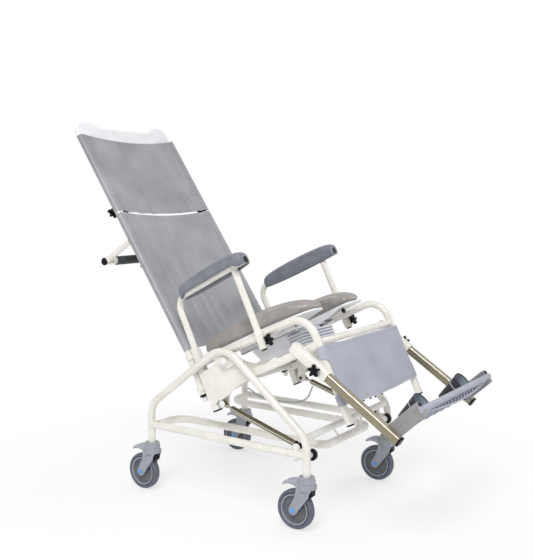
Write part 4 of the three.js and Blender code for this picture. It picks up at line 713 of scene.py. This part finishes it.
def arm_pad(name, sign):
    """A foam pad moulded over the arm tube: a flap down its inner side, and ends that close round the tube."""
    rings = []
    for t in [0, 0.004, 0.012, 0.028, 0.05, 0.08, 0.12, *np.linspace(0.18, 0.82, 17), 0.85, 0.88, 0.91, 0.94,
              0.965, 0.985, 0.996, 1]:
        u = -87 + t * 315
        nose = math.sqrt(max(0.0, 1 - (abs(t - 0.5) * 2) ** 9))
        crown = math.sin(math.pi * min(1, (t + 0.24) / 1.56)) ** 0.6
        half = (21.6 + 6 * t) * (0.6 + 0.4 * nose)
        outset = 1 + 6 * nose
        inner = max(half, outset + 13)
        top = 264 + 38 * (0.3 + 0.7 * crown) * (0.5 + 0.5 * nose)
        flap = 248 - 8 * math.sin(math.pi * t) ** 0.5
        closed = max(0.0, min(1.0, (t - 0.84) / 0.07), min(1.0, (0.09 - t) / 0.07))
        closed = closed * closed * (3 - 2 * closed)
        low = 263.6 - 15.6 * closed
        end = math.radians(10 - 62 * closed)
        outer = chaikin([
            (11.4 * math.cos(end) - outset, ARM_V + 11.4 * math.sin(end) + (0 if closed < 0.5 else -1)),
            (half * 0.9, low), (half, max(low + 6, 266)), (half * 0.97, top - 10), (half * 0.76, top - 3),
            (half * 0.3, top), (-inner * 0.3, top), (-inner * 0.76, top - 3), (-inner * 0.97, top - 10),
            (-inner, 256), (-inner * 0.92, flap + 0.5), (-outset - 9.6 + 5 * closed, flap)], 3, False)
        section = [(p[0] + outset, p[1]) for p in outer]
        for a in np.linspace(math.radians(222 + 26 * closed), end, 17):
            section.append((11.4 * math.cos(a), ARM_V + 11.4 * math.sin(a)))
        rings.append(np.array([seat(sign * (arm_axis(u) + across), u, v) for across, v in section]))
    obj = piece(f"arm_cushion_{name}", [loft(rings)], "slate_pad", f"arm_{name}", f"arm_pad_{name}", bevel=0,
                sharp=65)


# The back leans; s runs up its tubes from their bend.
LEAN = math.radians(8.37)
BACK_UP = UPWARD * math.cos(LEAN) - FORWARD * math.sin(LEAN)
BACK_OUT = FORWARD * math.cos(LEAN) + UPWARD * math.sin(LEAN)


def back(x, s, out=0.0):
    return seat(x, BACK_U, BACK_BEND_V) + BACK_UP * s + BACK_OUT * out


def back_tube(name, sign):
    at = mirrored(back, sign)
    foot, bend = (seat(sign * BACK_X, BACK_U, v) for v in (BACK_FOOT_V, BACK_BEND_V))
    tube = sweep(circle(SLIM_TUBE), rounded([foot, bend, at(BACK_X, 588)], 90, 8), X)
    lip = collar(9.5, 11.6, 0, 8, at(BACK_X, 581), BACK_UP, 40, 0.6)
    piece(f"back_upright_{name}", [tube, lip], "enamel", "seat", f"back_tube_{name}")
    tip = turned([(4, 3), (9, 7.5), (9, 15.2), (4.5, 21)], foot, -UPWARD, 32, 1)
    ring = drum(9, 13.5, 3.5, -3.5, foot, -UPWARD, 40)
    button = turned([(3, -2), (6.4, -2), (6.4, 3), (4.6, 5), (1, 5)], at(BACK_X, 342, -11), -BACK_OUT, 28, 0.6)
    clip = slab(4.6, 3, 1, at(233, 554, 12.5), at(206, 551.5, 9), BACK_UP)
    for title, shell, look in (
            ("back_foot_cap", tip, "white_plastic"), ("back_foot_collar", ring, "black_plastic"),
            ("back_tube_button", button, "black_plastic"), ("sling_clip", clip, "black_plastic")):
        piece(f"{title}_{name}", [shell], look, "seat", slot="enamel", bevel=0)
    star_knob(f"head_star_{name}", at(BACK_X, 571, -11), -BACK_OUT, f"head_knob_{name}")


# Half of the head frame's outline, from the back tube to the middle, as x and s.
HEAD_OUTLINE = [(BACK_X, 893), (243, 916), (233, 935), (214, 946.5), (187, 949), (160, 938.5), (135, 927.5),
                (105, 922), (52, 921.5), (0, 922)]


def head_frame():
    points = [back(-x, s) for x, s in HEAD_OUTLINE] + [back(x, s) for x, s in HEAD_OUTLINE[-2::-1]]
    path = [back(-BACK_X, 438), back(-BACK_X, 700), *spline(points, 6), back(BACK_X, 700), back(BACK_X, 438)]
    tube = sweep(circle(9, 28), along_path(path), np.cross(X, BACK_UP))
    edge = HEAD_OUTLINE[2:] + [(-x, s) for x, s in HEAD_OUTLINE[-2:1:-1]]
    edge = [(p[0] - math.copysign(2, p[0]) if p[0] else 0, p[1] + 3.5) for p in spline(edge, 4)]
    outline = [(234, 852), *edge, (-234, 852)]
    panel = loft([np.array([back(x, s, out) for x, s in outline]) for out in (6.4, 8.6)])
    piece("head_hoop", [tube], "white_plastic", "head_section", "head_frame")
    piece("head_panel", [panel], "panel", "head_section", slot="white_plastic", bevel=1.0)


def push_bar():
    end, height = HANDLE
    arms = [rod(10, seat(s * BACK_X, -228.5, 527), seat(s * BACK_X, *HANDLE)) for s in PAIR]
    cross = rod(TUBE, seat(-252, *HANDLE), seat(252, *HANDLE))
    welds = [bead(seat(s * BACK_X, end + 11.6, height + 1.3), FORWARD, 10.2, 1.3) for s in PAIR]
    piece("push_handle", [*arms, cross, *welds], "enamel", "seat", "push_bar")
    caps = [plug_cap(13.8, seat(s * 252, *HANDLE), X * s, 4.6) for s in PAIR]
    piece("push_handle_plugs", caps, "black_plastic", "seat", bevel=0)
    profile = [(12.8, -198), (14.6, -198), (16, -196)]
    for k in range(48):
        h = -192 + k * 8.1
        profile += [(16, h), (16, h + 5.4), (15.2, h + 6), (15.2, h + 7.5)]
    profile += [(16, 196), (14.6, 198), (12.8, 198)]
    piece("push_sleeve", [turned_hoop(profile, seat(0, *HANDLE), X, 40, 0)], "grip_rubber", "seat", "push_grip",
          "black_rubber", bevel=0)


# Cloth.
def wrapped_columns(tube_x, radius, wrap):
    """Places across the sling: from behind one tube, over its front, to behind the other."""
    left = [(tube_x + radius * math.sin(a), radius * math.cos(a), 1.0)
            for a in math.radians(wrap) * (1 - np.arange(9) / 9)]
    flat = [(tube_x * share, radius, share) for share in 1 - 2 * np.arange(73) / 72]
    return left + flat + [(-x, out, -1.0) for x, out, _ in reversed(left)]


def sheet_shell(grid, thickness, backward):
    """A sheet with a front and a rear face and closed edges."""
    grid = np.asarray(grid)
    normal = np.cross(np.gradient(grid, axis=1), np.gradient(grid, axis=0))
    normal /= np.linalg.norm(normal, axis=2, keepdims=True)
    rear = grid + normal * thickness * backward
    points, faces = loft(np.concatenate([grid, rear[:, ::-1]], axis=1), capped=False)
    count = 2 * grid.shape[1]
    for start in (0, len(points) - count):
        end = start + count - 1
        faces += [(start + k, start + k + 1, end - k - 1, end - k) for k in range(count // 2 - 1)]
    return points, faces


def folds(share, height, seed, strength):
    """Soft upright folds of a sling under tension, deeper near its tubes and its lower end."""
    total = 0.0
    for k in range(9):
        centre = -0.92 + 1.84 * ((k * 0.381 + seed * 0.17) % 1.0)
        width = 0.035 + 0.03 * ((k * 0.73 + seed) % 1.0)
        lean = (k % 3 - 1) * 0.06
        near = math.exp(-(((share - centre - lean * height) / width) ** 2))
        total += near * strength * (0.5 + 0.5 * math.sin(k * 2.1 + height * 3.0))
    return total * (1 - share ** 8)


def sling(name, low, high, low_dip, high_dip, sag, sag_at, seed, body, replaced):
    rows = 90

    def place(height, x, out, share):
        middle = 1 - share * share
        s = (low - low_dip * middle) * (1 - height) + (high - high_dip * middle) * height
        if abs(share) < 1:
            out -= folds(share, height, seed, 4.5) * (1.1 - height) ** 1.4
            out += 0.7 if height < 0.03 or height > 0.97 else 0
        return back(x, s, out - sag * middle * sag_at(height))
    columns = wrapped_columns(BACK_X, SLIM_TUBE + 2.5, 116)
    grid = [[place(r / rows, *column) for column in columns] for r in range(rows + 1)]
    obj = piece(name, [sheet_shell(grid, 1.4, 1)], "grey_vinyl", body, replaced, bevel=0, sharp=80)
    stitches = hem_stitches(grid, BACK_OUT) + side_seams(grid, 12)
    thread = piece(f"{name}_stitching", stitches, "stitch_grey", body, slot="grey_vinyl", bevel=0)


def side_seams(grid, column):
    """A raised seam beside each tube, along the whole sling."""
    lines = [[row[c] + BACK_OUT * 0.2 for row in grid] for c in (column, len(grid[0]) - 1 - column)]
    return [sweep(circle(0.8, 8), along_path(line), X) for line in lines]


def hem_stitches(grid, outward):
    """Rows of stitches along the two hems, a short raised thread for each."""
    shells = []
    for row in (grid[3], grid[-4]):
        for c in range(10, len(row) - 11, 2):
            a, b = row[c] + outward * 0.35, row[c + 1] + outward * 0.35
            shells.append(rod(0.55, a * 0.9 + b * 0.1, a * 0.1 + b * 0.9, 6))
    return shells


def calf_sling():
    rows = 60
    grid = []
    for height in np.arange(rows + 1) / rows:
        hem = max(0.0, min(1.0, (min(height, 1 - height) - 0.14) / 0.14))
        wrap = 116 - 112 * (hem * hem * (3 - 2 * hem))
        row = []
        for x, out, share in wrapped_columns(RAIL_X, TUBE + 2 + 1.6, wrap):
            middle = 1 - share * share
            v = -80 + (-186 - 10 * middle) * height
            dent = 12 * middle * math.sin(math.pi * (0.25 + height / 2))
            bend = (share + 0.1 * math.sin(6 * height)) / 0.5
            crease = 1.5 * math.exp(-(bend ** 2)) * math.sin(9 * height + 1)
            soft = 1.6 * noise.noise(Vector((share * 1.5, height * 1.7, 3.7)))
            row.append(seat(x, CALF_U + out - dent + (crease + soft) * middle, v))
        grid.append(row)
    obj = piece("calf_panel", [sheet_shell(grid, 1.4, -1)], "lilac_vinyl", "seat", "calf_sling", bevel=0,
                sharp=80)
    thread = piece("calf_panel_stitching", hem_stitches(grid, FORWARD), "stitch_grey", "seat", slot="lilac_vinyl",
                   bevel=0)
    ties = []
    for x in (-137, -88, -54, -5):
        hem_point = min(grid[-1], key=lambda place: abs(place[0] - x)) - FORWARD * 1.6
        ties.append(slab(8, 2.4, 0.6, hem_point + UPWARD * 3, hem_point - UPWARD * 5))
    piece("calf_panel_ties", ties, "black_plastic", "seat", slot="lilac_vinyl", bevel=0)


# The cushion's left half: inner edge x and u, outer edge x and u, and its share of the full height.
CUSHION = [
    (100, 316, 136, 320, 0.16), (84, 309, 158, 314, 0.36), (77, 292, 174, 297, 0.54), (77, 262, 188, 268, 0.76),
    (84, 220, 204, 225, 0.9), (94, 165, 219, 170, 0.98), (99, 110, 226, 105, 1), (98, 62, 228, 30, 0.98),
    (86, 20, 227, -50, 0.94), (62, -8, 216, -104, 0.86), (30, -22, 150, -130, 0.8), (0, -26, 0, -130, 0.78)]


def cushion_rows(steps):
    return spline(CUSHION + [(-a, b, -c, d, e) for a, b, c, d, e in CUSHION[-2::-1]], steps)


def seat_cushion():
    rings = []
    for ix, iu, ox, ou, share in cushion_rows(4):
        inner = np.array([ix, iu])
        across = np.array([ox, ou]) - inner
        ring = []
        for a in np.linspace(0, 2 * math.pi, 36, endpoint=False):
            c, s = math.cos(a), math.sin(a)
            place = 0.5 + 0.5 * math.copysign(abs(c) ** 0.75, c)
            height = 0.36 + 0.64 * abs(s) ** 0.8 if s >= 0 else 0.36 - 0.36 * abs(s) ** 0.45
            ring.append(seat(*(inner + across * place), CUSHION_V + 60 * height * share))
        rings.append(np.array(ring))
    obj = make_mesh("seat_pad", [loft(rings)])
    obj.data.materials.append(LOOKS["taupe_vinyl"])
    smooth(obj, 180)
    swell(obj, 5.0, 5.0)
    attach(obj, "seat")
    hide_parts("seat_cushion")


def swell(obj, voxel, cap):
    """Blows the pad up a little with cloth pressure; no point moves further than the cap, in millimetres."""
    assign(obj.modifiers.new("remesh", "REMESH"), mode="VOXEL", voxel_size=voxel * MM)
    apply_modifiers(obj)
    places = lambda: np.array([v.co[:] for v in obj.data.vertices])
    start = places()
    settings = assign(obj.modifiers.new("cloth", "CLOTH").settings, quality=5, mass=0.3, tension_stiffness=15,
                      compression_stiffness=15, bending_stiffness=0.6, use_pressure=True, uniform_pressure_force=4)
    settings.effector_weights.gravity = 0
    scene = bpy.context.scene
    for number in range(1, 21):
        scene.frame_set(number)
    apply_modifiers(obj)
    scene.frame_set(1)
    moved = places() - start
    length = np.linalg.norm(moved, axis=1, keepdims=True)
    result = start + moved * np.minimum(1, cap * MM / np.maximum(length, 1e-9))
    # The underside stays on the board.
    below = np.minimum(0, result @ UPWARD - (seat(0, 0, CUSHION_V) * MM) @ UPWARD)
    result -= below[:, None] * UPWARD
    for vertex, co in zip(obj.data.vertices, result):
        vertex.co = co
    smooth(obj, 180)
    assign(obj.modifiers.new("relax", "SMOOTH"), factor=0.5, iterations=6)
    assign(obj.modifiers.new("subdivide", "SUBSURF"), levels=1, render_levels=1)


def apply_modifiers(obj):
    graph = bpy.context.evaluated_depsgraph_get()
    mesh = bpy.data.meshes.new_from_object(obj.evaluated_get(graph))
    old = obj.data
    obj.modifiers.clear()
    obj.data = mesh
    bpy.data.meshes.remove(old)


def seat_ring():
    rings = []
    for ix, iu, ox, ou, share in cushion_rows(3):
        tip = 1 - min(1, share / 0.5)
        low = 22 + 17 * max(tip, min(1, max(0, (iu - 200) / 80)))
        inner = np.array([ix, iu - 8 * tip])
        across = np.array([ox, ou - 8 * tip]) - inner
        width = np.linalg.norm(across) + 16 * min(1, share * 1.3)
        profile = [(0, low), (0, BOARD_V), (width, BOARD_V), (width, 40.4), (4, 40.4), (4, low)]
        section = soften(profile, 1.2, True)
        rings.append(np.array([seat(*(inner + unit(across) * shift), v) for shift, v in section]))
    tracks = []
    for s in PAIR:
        tracks.append(slab(4, 36.5, 0.8, seat(s * 123, -36, 28.3), seat(s * 123, 205, 28.3)))
        tracks.append(slab(20, 4, 0.8, seat(s * 115, -36, 12), seat(s * 115, 205, 12)))
        for u in (-20, 40, 100, 160, 196):
            tracks.append(slab(3, 26, 0.6, seat(s * 127, u, 36), seat(s * 141, u, 36), FORWARD))
    piece("seat_board", [loft(rings), *tracks], "white_plastic", "seat", "seat_ring", bevel=0.5)
    end = seat(112, 262, 29)
    saddle = slab(12, 40, 1, seat(112, 226, 34), seat(112, 226, 41.5))
    stub = rod(8.8, seat(112, 196, 29), end)
    piece("board_stub", [stub, saddle], "enamel", "seat", slot="white_plastic", bevel=0)
    plug = plug_cap(9.2, end, FORWARD)
    piece("board_stub_plug", [plug], "black_plastic", "seat", slot="white_plastic", bevel=0)


def rounded_box(half, rear, front, corner, v):
    middle = (rear + front) / 2
    return np.array([seat(x, middle + y, v) for x, y in rectangle(2 * half, front - rear, corner, 10)])


def commode_pan():
    def level(grow, v, shrink=1.0):
        inset = (1 - shrink) * 98
        return rounded_box((98 + grow) * shrink, -37 - grow + inset, 187 + grow - inset, 60 + grow, v)
    # The outer skin down to its floor, then the inner skin up from its own; the two floors stay apart.
    levels = [level(*row) for row in ((0, 19), (0, 8), (0, -8, 0.95), (0, -22, 0.9), (0, -30, 0.84),
                                      (-3, -27, 0.84), (-3, -20, 0.9), (-3, -6, 0.95), (-3, 10), (-3, 19))]
    points, faces = loft(levels, joined=True)
    count = len(levels[0])
    del faces[4 * count:5 * count]
    faces += [tuple(range(k * count, (k + 1) * count)) for k in (4, 5)]
    flange = loft([rounded_box(119.5, -40, 190, 12, 15), rounded_box(119.5, -40, 190, 12, 19),
                   level(-1, 19), level(-1, 15)], joined=True)
    piece("pan_shell", [(points, faces), flange, *pan_grip()], "pan_plastic", "pan", "commode_pan", sharp=32)


def pan_grip():
    """The pan's ribbed front, which closes the gap under the seat's front."""
    outline = [(150, 14), (190, 2.5), (199.6, 0), (203.2, -5), (203.2, -40), (199, -46), (150, -46)]
    heights = range(-41, 0, 10)
    ribs = [slab(204, 5, 1.4, seat(0, 202, v), seat(0, 207, v)) for v in heights]
    ribs += [slab(4, 5, 1.4, seat(s * 102, 152, v), seat(s * 102, 205, v)) for s in PAIR for v in heights]
    # Painted shade: the body behind the ribs is greyer than the pan, for the shade in the grooves between them.
    body = plate(outline, seat, -100.6, 100.6)
    piece("pan_grip_body", [body], "pan_painted_groove_shade", "pan", slot="pan_plastic", bevel=0.6)
    return ribs


def leg_rods(name, sign):
    tube = slab(25, 25, 3, leg_point(sign, 399.5), leg_point(sign, 0))
    spigot = rod(6, leg_point(sign, 22, 250), leg_point(sign, 22, 270))
    washer = drum(3, 9, 0, 1.6, leg_point(sign, 22, 292.5), X * sign, 32, 0.3)
    piece(f"leg_tube_{name}", [tube, spigot, washer], "champagne", "legs", f"leg_rod_{name}")
    boot = slab(26.2, 26.2, 3, leg_point(sign, 2.4), leg_point(sign, -5))
    piece(f"leg_tube_boot_{name}", [boot], "black_plastic", "legs", slot="champagne", bevel=1.2)
    star_knob(f"leg_star_{name}", leg_point(sign, 317, 295.5), X * sign, f"leg_knob_{name}")


def foot(x, a, b):
    """A place on the footplate: a runs from heel to toe, b is square to its top."""
    tilt = math.radians(17)
    return seat(x, 491 + a * math.cos(tilt) - b * math.sin(tilt), -382 + a * math.sin(tilt) + b * math.cos(tilt))


FOOT_ALONG = foot(0, 1, 0) - foot(0, 0, 0)
FOOT_UP = foot(0, 0, 1) - foot(0, 0, 0)


def foot_lattice():
    """The open ribs under the toe, deepest in the middle, over a dark sheet that is painted shade between them."""
    xs = np.linspace(-216, 216, 19)
    deep = [-11 - 15 * math.cos(math.pi * x / 440) for x in xs]
    # Painted shade: a dark sheet behind the ribs stands for the shade under the toe.
    shade_sheet = plate([(-216, -6), *zip(xs, deep), (216, -6)], lambda a, x, b: foot(x, a, b), 95, 98)
    piece("foot_board_painted_shade", [shade_sheet], "lattice_painted_shade", "footrest", slot="plate_plastic", bevel=0)
    low = [foot(x, 99, b) for x, b in zip(xs, deep)]
    high = [foot(x, 99, -8) for x in xs]
    ribs = []
    for k in range(len(xs) - 1):
        ribs += [rod(1.9, low[k], low[k + 1], 10), rod(1.3, high[k], low[k + 1], 8),
                 rod(1.3, low[k], high[k + 1], 8)]
    piece("foot_board_lattice", ribs, "plate_plastic", "footrest", bevel=0)


def footrest():
    inner = 251
    outline = soften([(0, 0), (100, 0), (105.5, -5.5), (100, -11), (0, -11)], 1.5, True)
    shells = [plate(outline, foot, -inner, inner)]
    for k in range(9):
        x = -inner + (k + 0.5) * 2 * inner / 9
        shells.append(plate([(11, -8), (89, -8), (78, -16), (22, -16)], foot, x - 2.5, x + 2.5))
    for a in range(10, 96, 7):
        shells.append(slab(1.6, 3, 0.5, foot(-244, a, 0.4), foot(244, a, 0.4), FOOT_UP))
    shells.append(rod(9, foot(-267.5, 105.5, 0), foot(267.5, 105.5, 0)))
    piece("foot_board", shells, "plate_plastic", "footrest", "footplate")
    foot_lattice()
    caps = [turned([(1, 0), (7, 0), (7, 2.4), (5.6, 3.4), (1, 3.4)], foot(s * 259, 107.4, 15), FOOT_ALONG, 28, 0.5)
            for s in PAIR]
    piece("foot_board_plugs", caps, "black_plastic", "footrest", slot="plate_plastic", bevel=0)
    edge = soften([(-11, -22), (107.6, -22), (107.6, 25), (-11, 25)], 7, True)
    cheeks = []
    for s in PAIR:
        cheeks += [plate(edge, foot, s * 267, s * 250), drum(3, 9, 0, 1.2, foot(s * 267, 92, 4), X * s, 32, 0.4)]
    piece("foot_board_cheeks", cheeks, "cheek_plastic", "footrest", slot="plate_plastic", bevel=1.8)


def heel_strap(name, sign):
    """A hood over the heel: black outside, with a grey-blue inner shell that is painted reflection on the black
    strap, low at the heel and open towards the toes.
    """
    toe = 61 if sign < 0 else 72

    def edge(share, inset):
        """One arch of the hood; share runs from the heel edge to the toe edge."""
        places = []
        for j in range(37):
            angle = math.pi * j / 36
            rise = math.sqrt(math.sin(angle)) if 0 < j < 36 else 0.0
            a = (6 - 26 * rise) * (1 - share) + toe * share
            b = (42 + 17 * share) * rise
            half = 36 * (1 - inset / 37)
            places.append(foot(sign * 150 - half * math.cos(angle), a, max(0.6, b - inset * rise)))
        return places

    def strap(title, shells, look, replaced=None, sharp=38):
        return piece(f"heel_band{title}_{name}", shells, look, "footrest", replaced, "slate_pad", 0, sharp)

    def hood(inset, thickness, low, high):
        return sheet_shell([edge(low + (high - low) * k / 12, inset) for k in range(13)], thickness, 1)
    outer = strap("_tail", [hood(0, 2.0, 0, 1)], "strap_black", sharp=60)
    # Painted reflection: the grey-blue inner shell stands for the sheen on the black strap.
    reflection_lining = strap("", [hood(2.2, 1.4, 0.02, 0.985)], "strap_painted_reflection", f"heel_strap_{name}", 60)
    piping = strap("_piping", [sweep(circle(1.8, 12), along_path(edge(1, 1.2)), FOOT_ALONG)], "strap_black")
    thread = strap("_stitch", [sweep(circle(1.0, 8), along_path(edge(0.7, -0.6)), FOOT_ALONG)], "stitch")


def strut(name, sign):
    cylinder, inner = f"strut_cylinder_{name}", f"strut_rod_{name}"
    pin = seat(sign * 246, *STRUT_PIN)
    low = base(sign * 246, *STRUT_FOOT)
    along = unit(pin - low)
    body = turned([(6, 16), (10, 16), (10, 272.5), (8.4, 275), (5.6, 275)], low, along, 48, 1.2)
    seams = [bead(low + along * h, along, 9.9, 0.7) for h in (24, 260, 268)]
    piece(f"strut_body_{name}", [body, *seams], "strut_metal", cylinder, cylinder)
    boot = turned([(6, 4.8), (9, 8), (11.4, 11.2), (11.4, 15.4), (10.6, 16.4), (6, 16.4)], low, along, 48, 1)
    piece(f"strut_boot_{name}", [boot, rod(10, low - X * 7, low + X * 7, 40)], "black_plastic", cylinder)
    shaft = drum(2, 5, 0, 184, pin, -along, 32, 0.6)
    piece(f"strut_shaft_{name}", [shaft], "chrome", inner, inner, "strut_metal")
    eye = rod(10, pin - X * 7, pin + X * 7, 40)
    yoke = turned([(5.4, 6), (7.4, 8), (7.4, 20), (5.4, 22)], pin, -along, 32, 0.8)
    stub = rod(6, seat(sign * 226.5, *STRUT_PIN), pin)
    piece(f"strut_eye_{name}", [eye, yoke, stub], "strut_metal", inner)
    piece(f"strut_cap_{name}", [dome(12, 7, pin + X * sign * 7, X * sign)], "white_plastic", inner, bevel=0)


# Floor, world and lamps.
def camera_or(tree, kind):
    """1 for camera rays and for one more kind of ray."""
    rays = node(tree, "LightPath").outputs
    return node(tree, "Math", {0: rays["Is Camera Ray"], 1: rays[kind]}, operation="MAXIMUM").outputs["Value"]


def show(tree, kind, factor, first, second):
    """Ends a node tree in a mix of two shaders."""
    mix = node(tree, "MixShader", {"Fac": factor, 1: first.outputs[0], 2: second.outputs[0]})
    node(tree, kind, {"Surface": mix.outputs["Shader"]})


def make_room():
    size = 60
    data = bpy.data.meshes.new("studio_floor")
    data.from_pydata([(-size, -size, 0), (size, -size, 0), (size, size, 0), (-size, size, 0)], [], [(0, 1, 2, 3)])
    floor = add_object("studio_floor", data)
    material = assign(bpy.data.materials.new("pale_floor"), use_nodes=True)
    tree = material.node_tree
    tree.nodes.clear()
    matt = node(tree, "BsdfDiffuse", {"Color": (0.985, 0.985, 0.985, 1)})
    white = node(tree, "Emission", {"Color": WHITE, "Strength": 1.0})
    coords = node(tree, "TexCoord").outputs["Object"]
    length = node(tree, "VectorMath", {0: coords}, operation="LENGTH").outputs["Value"]
    fade = node(tree, "MapRange", {"From Min": 0.55, "From Max": 1.45, "To Min": 0.6, "Value": length},
                interpolation_type="SMOOTHSTEP").outputs["Result"]
    factor = node(tree, "Math", {0: fade, 1: camera_or(tree, "Is Glossy Ray")}, operation="MULTIPLY")
    show(tree, "OutputMaterial", factor.outputs["Value"], matt, white)
    data.materials.append(material)
    make_world()
    add_lamp("key_lamp", (-2.4, -1.2, 3.4), 1.8, 84)
    add_lamp("fill_lamp", (2.6, -2.4, 2.6), 2.6, 26)
    add_lamp("rear_lamp", (0.6, 3.0, 2.8), 2.4, 22)


def make_world():
    world = assign(bpy.data.worlds.new("studio"), use_nodes=True)
    bpy.context.scene.world = world
    tree = world.node_tree
    tree.nodes.clear()
    soft, white = (node(tree, "Background", {"Color": WHITE, "Strength": strength}) for strength in (0.52, 1.0))
    show(tree, "OutputWorld", camera_or(tree, "Is Transmission Ray"), soft, white)


def add_lamp(name, place, size, watts):
    data = assign(bpy.data.lights.new(name, "AREA"), shape="DISK", size=size, energy=watts)
    lamp = add_object(name, data)
    lamp.location = place
    lamp.rotation_euler = (Vector((0, 0, 0.6)) - Vector(place)).to_track_quat("-Z", "Y").to_euler()


make_camera()
LOOKS = make_finishes()
# Painted reflection on the struts: bright and dark streaks set by which way the surface faces.
paint_metal_reflections(LOOKS["strut_metal"], upright(unit(seat(0, *STRUT_PIN) - base(0, *STRUT_FOOT))),
       [(0.0, "8f8872"), (1.0, "a79e86"), (0.34, "cfcab6"), (0.42, "4a3a2c"), (0.5, "2a1d14"), (0.56, "fffaf0"),
        (0.66, "fffaf0"), (0.71, "4d4634"), (0.86, "8d8568"), (0.95, "5d563f")])
# Painted light on the leg rods: a lighter top, a painted highlight along the upper corners and painted shade
# underneath.
paint_metal_reflections(LOOKS["champagne"], upright(LEG_ALONG),
       [(0.0, "6b6454"), (1.0, "b9b2a0"), (0.46, "9a927d"), (0.54, "9a927d"), (0.68, "e6e0d2"), (0.86, "cfc8b6")])
for side_name, side_sign in SIDES:
    for build in (side_frame, seat_rail, mechanism_side, arm, back_tube, leg_rods, heel_strap, strut):
        build(side_name, side_sign)
    caster(f"front_{side_name}", side_sign * HOOP_X, FRONT_POST_Y)
    caster(f"rear_{side_name}", side_sign * HOOP_X, REAR_POST_Y)
floor_frame()
cross_tubes()
head_frame()
push_bar()
sling("back_panel", -2, 550, 0, 14, 27, lambda h: math.sin(math.pi * math.sqrt(h) * 0.9), 1, "seat", "back_sling")
sling("head_panel_cloth", 558, 890, 13, 22, 8, lambda h: 1 - h / 2, 4, "head_section", "head_sling")
calf_sling()
seat_cushion()
seat_ring()
commode_pan()
footrest()
nodes["release_cable"].data.materials[0] = LOOKS["cable_grey"]
make_room()
bpy.context.scene.view_settings.view_transform = "Standard"
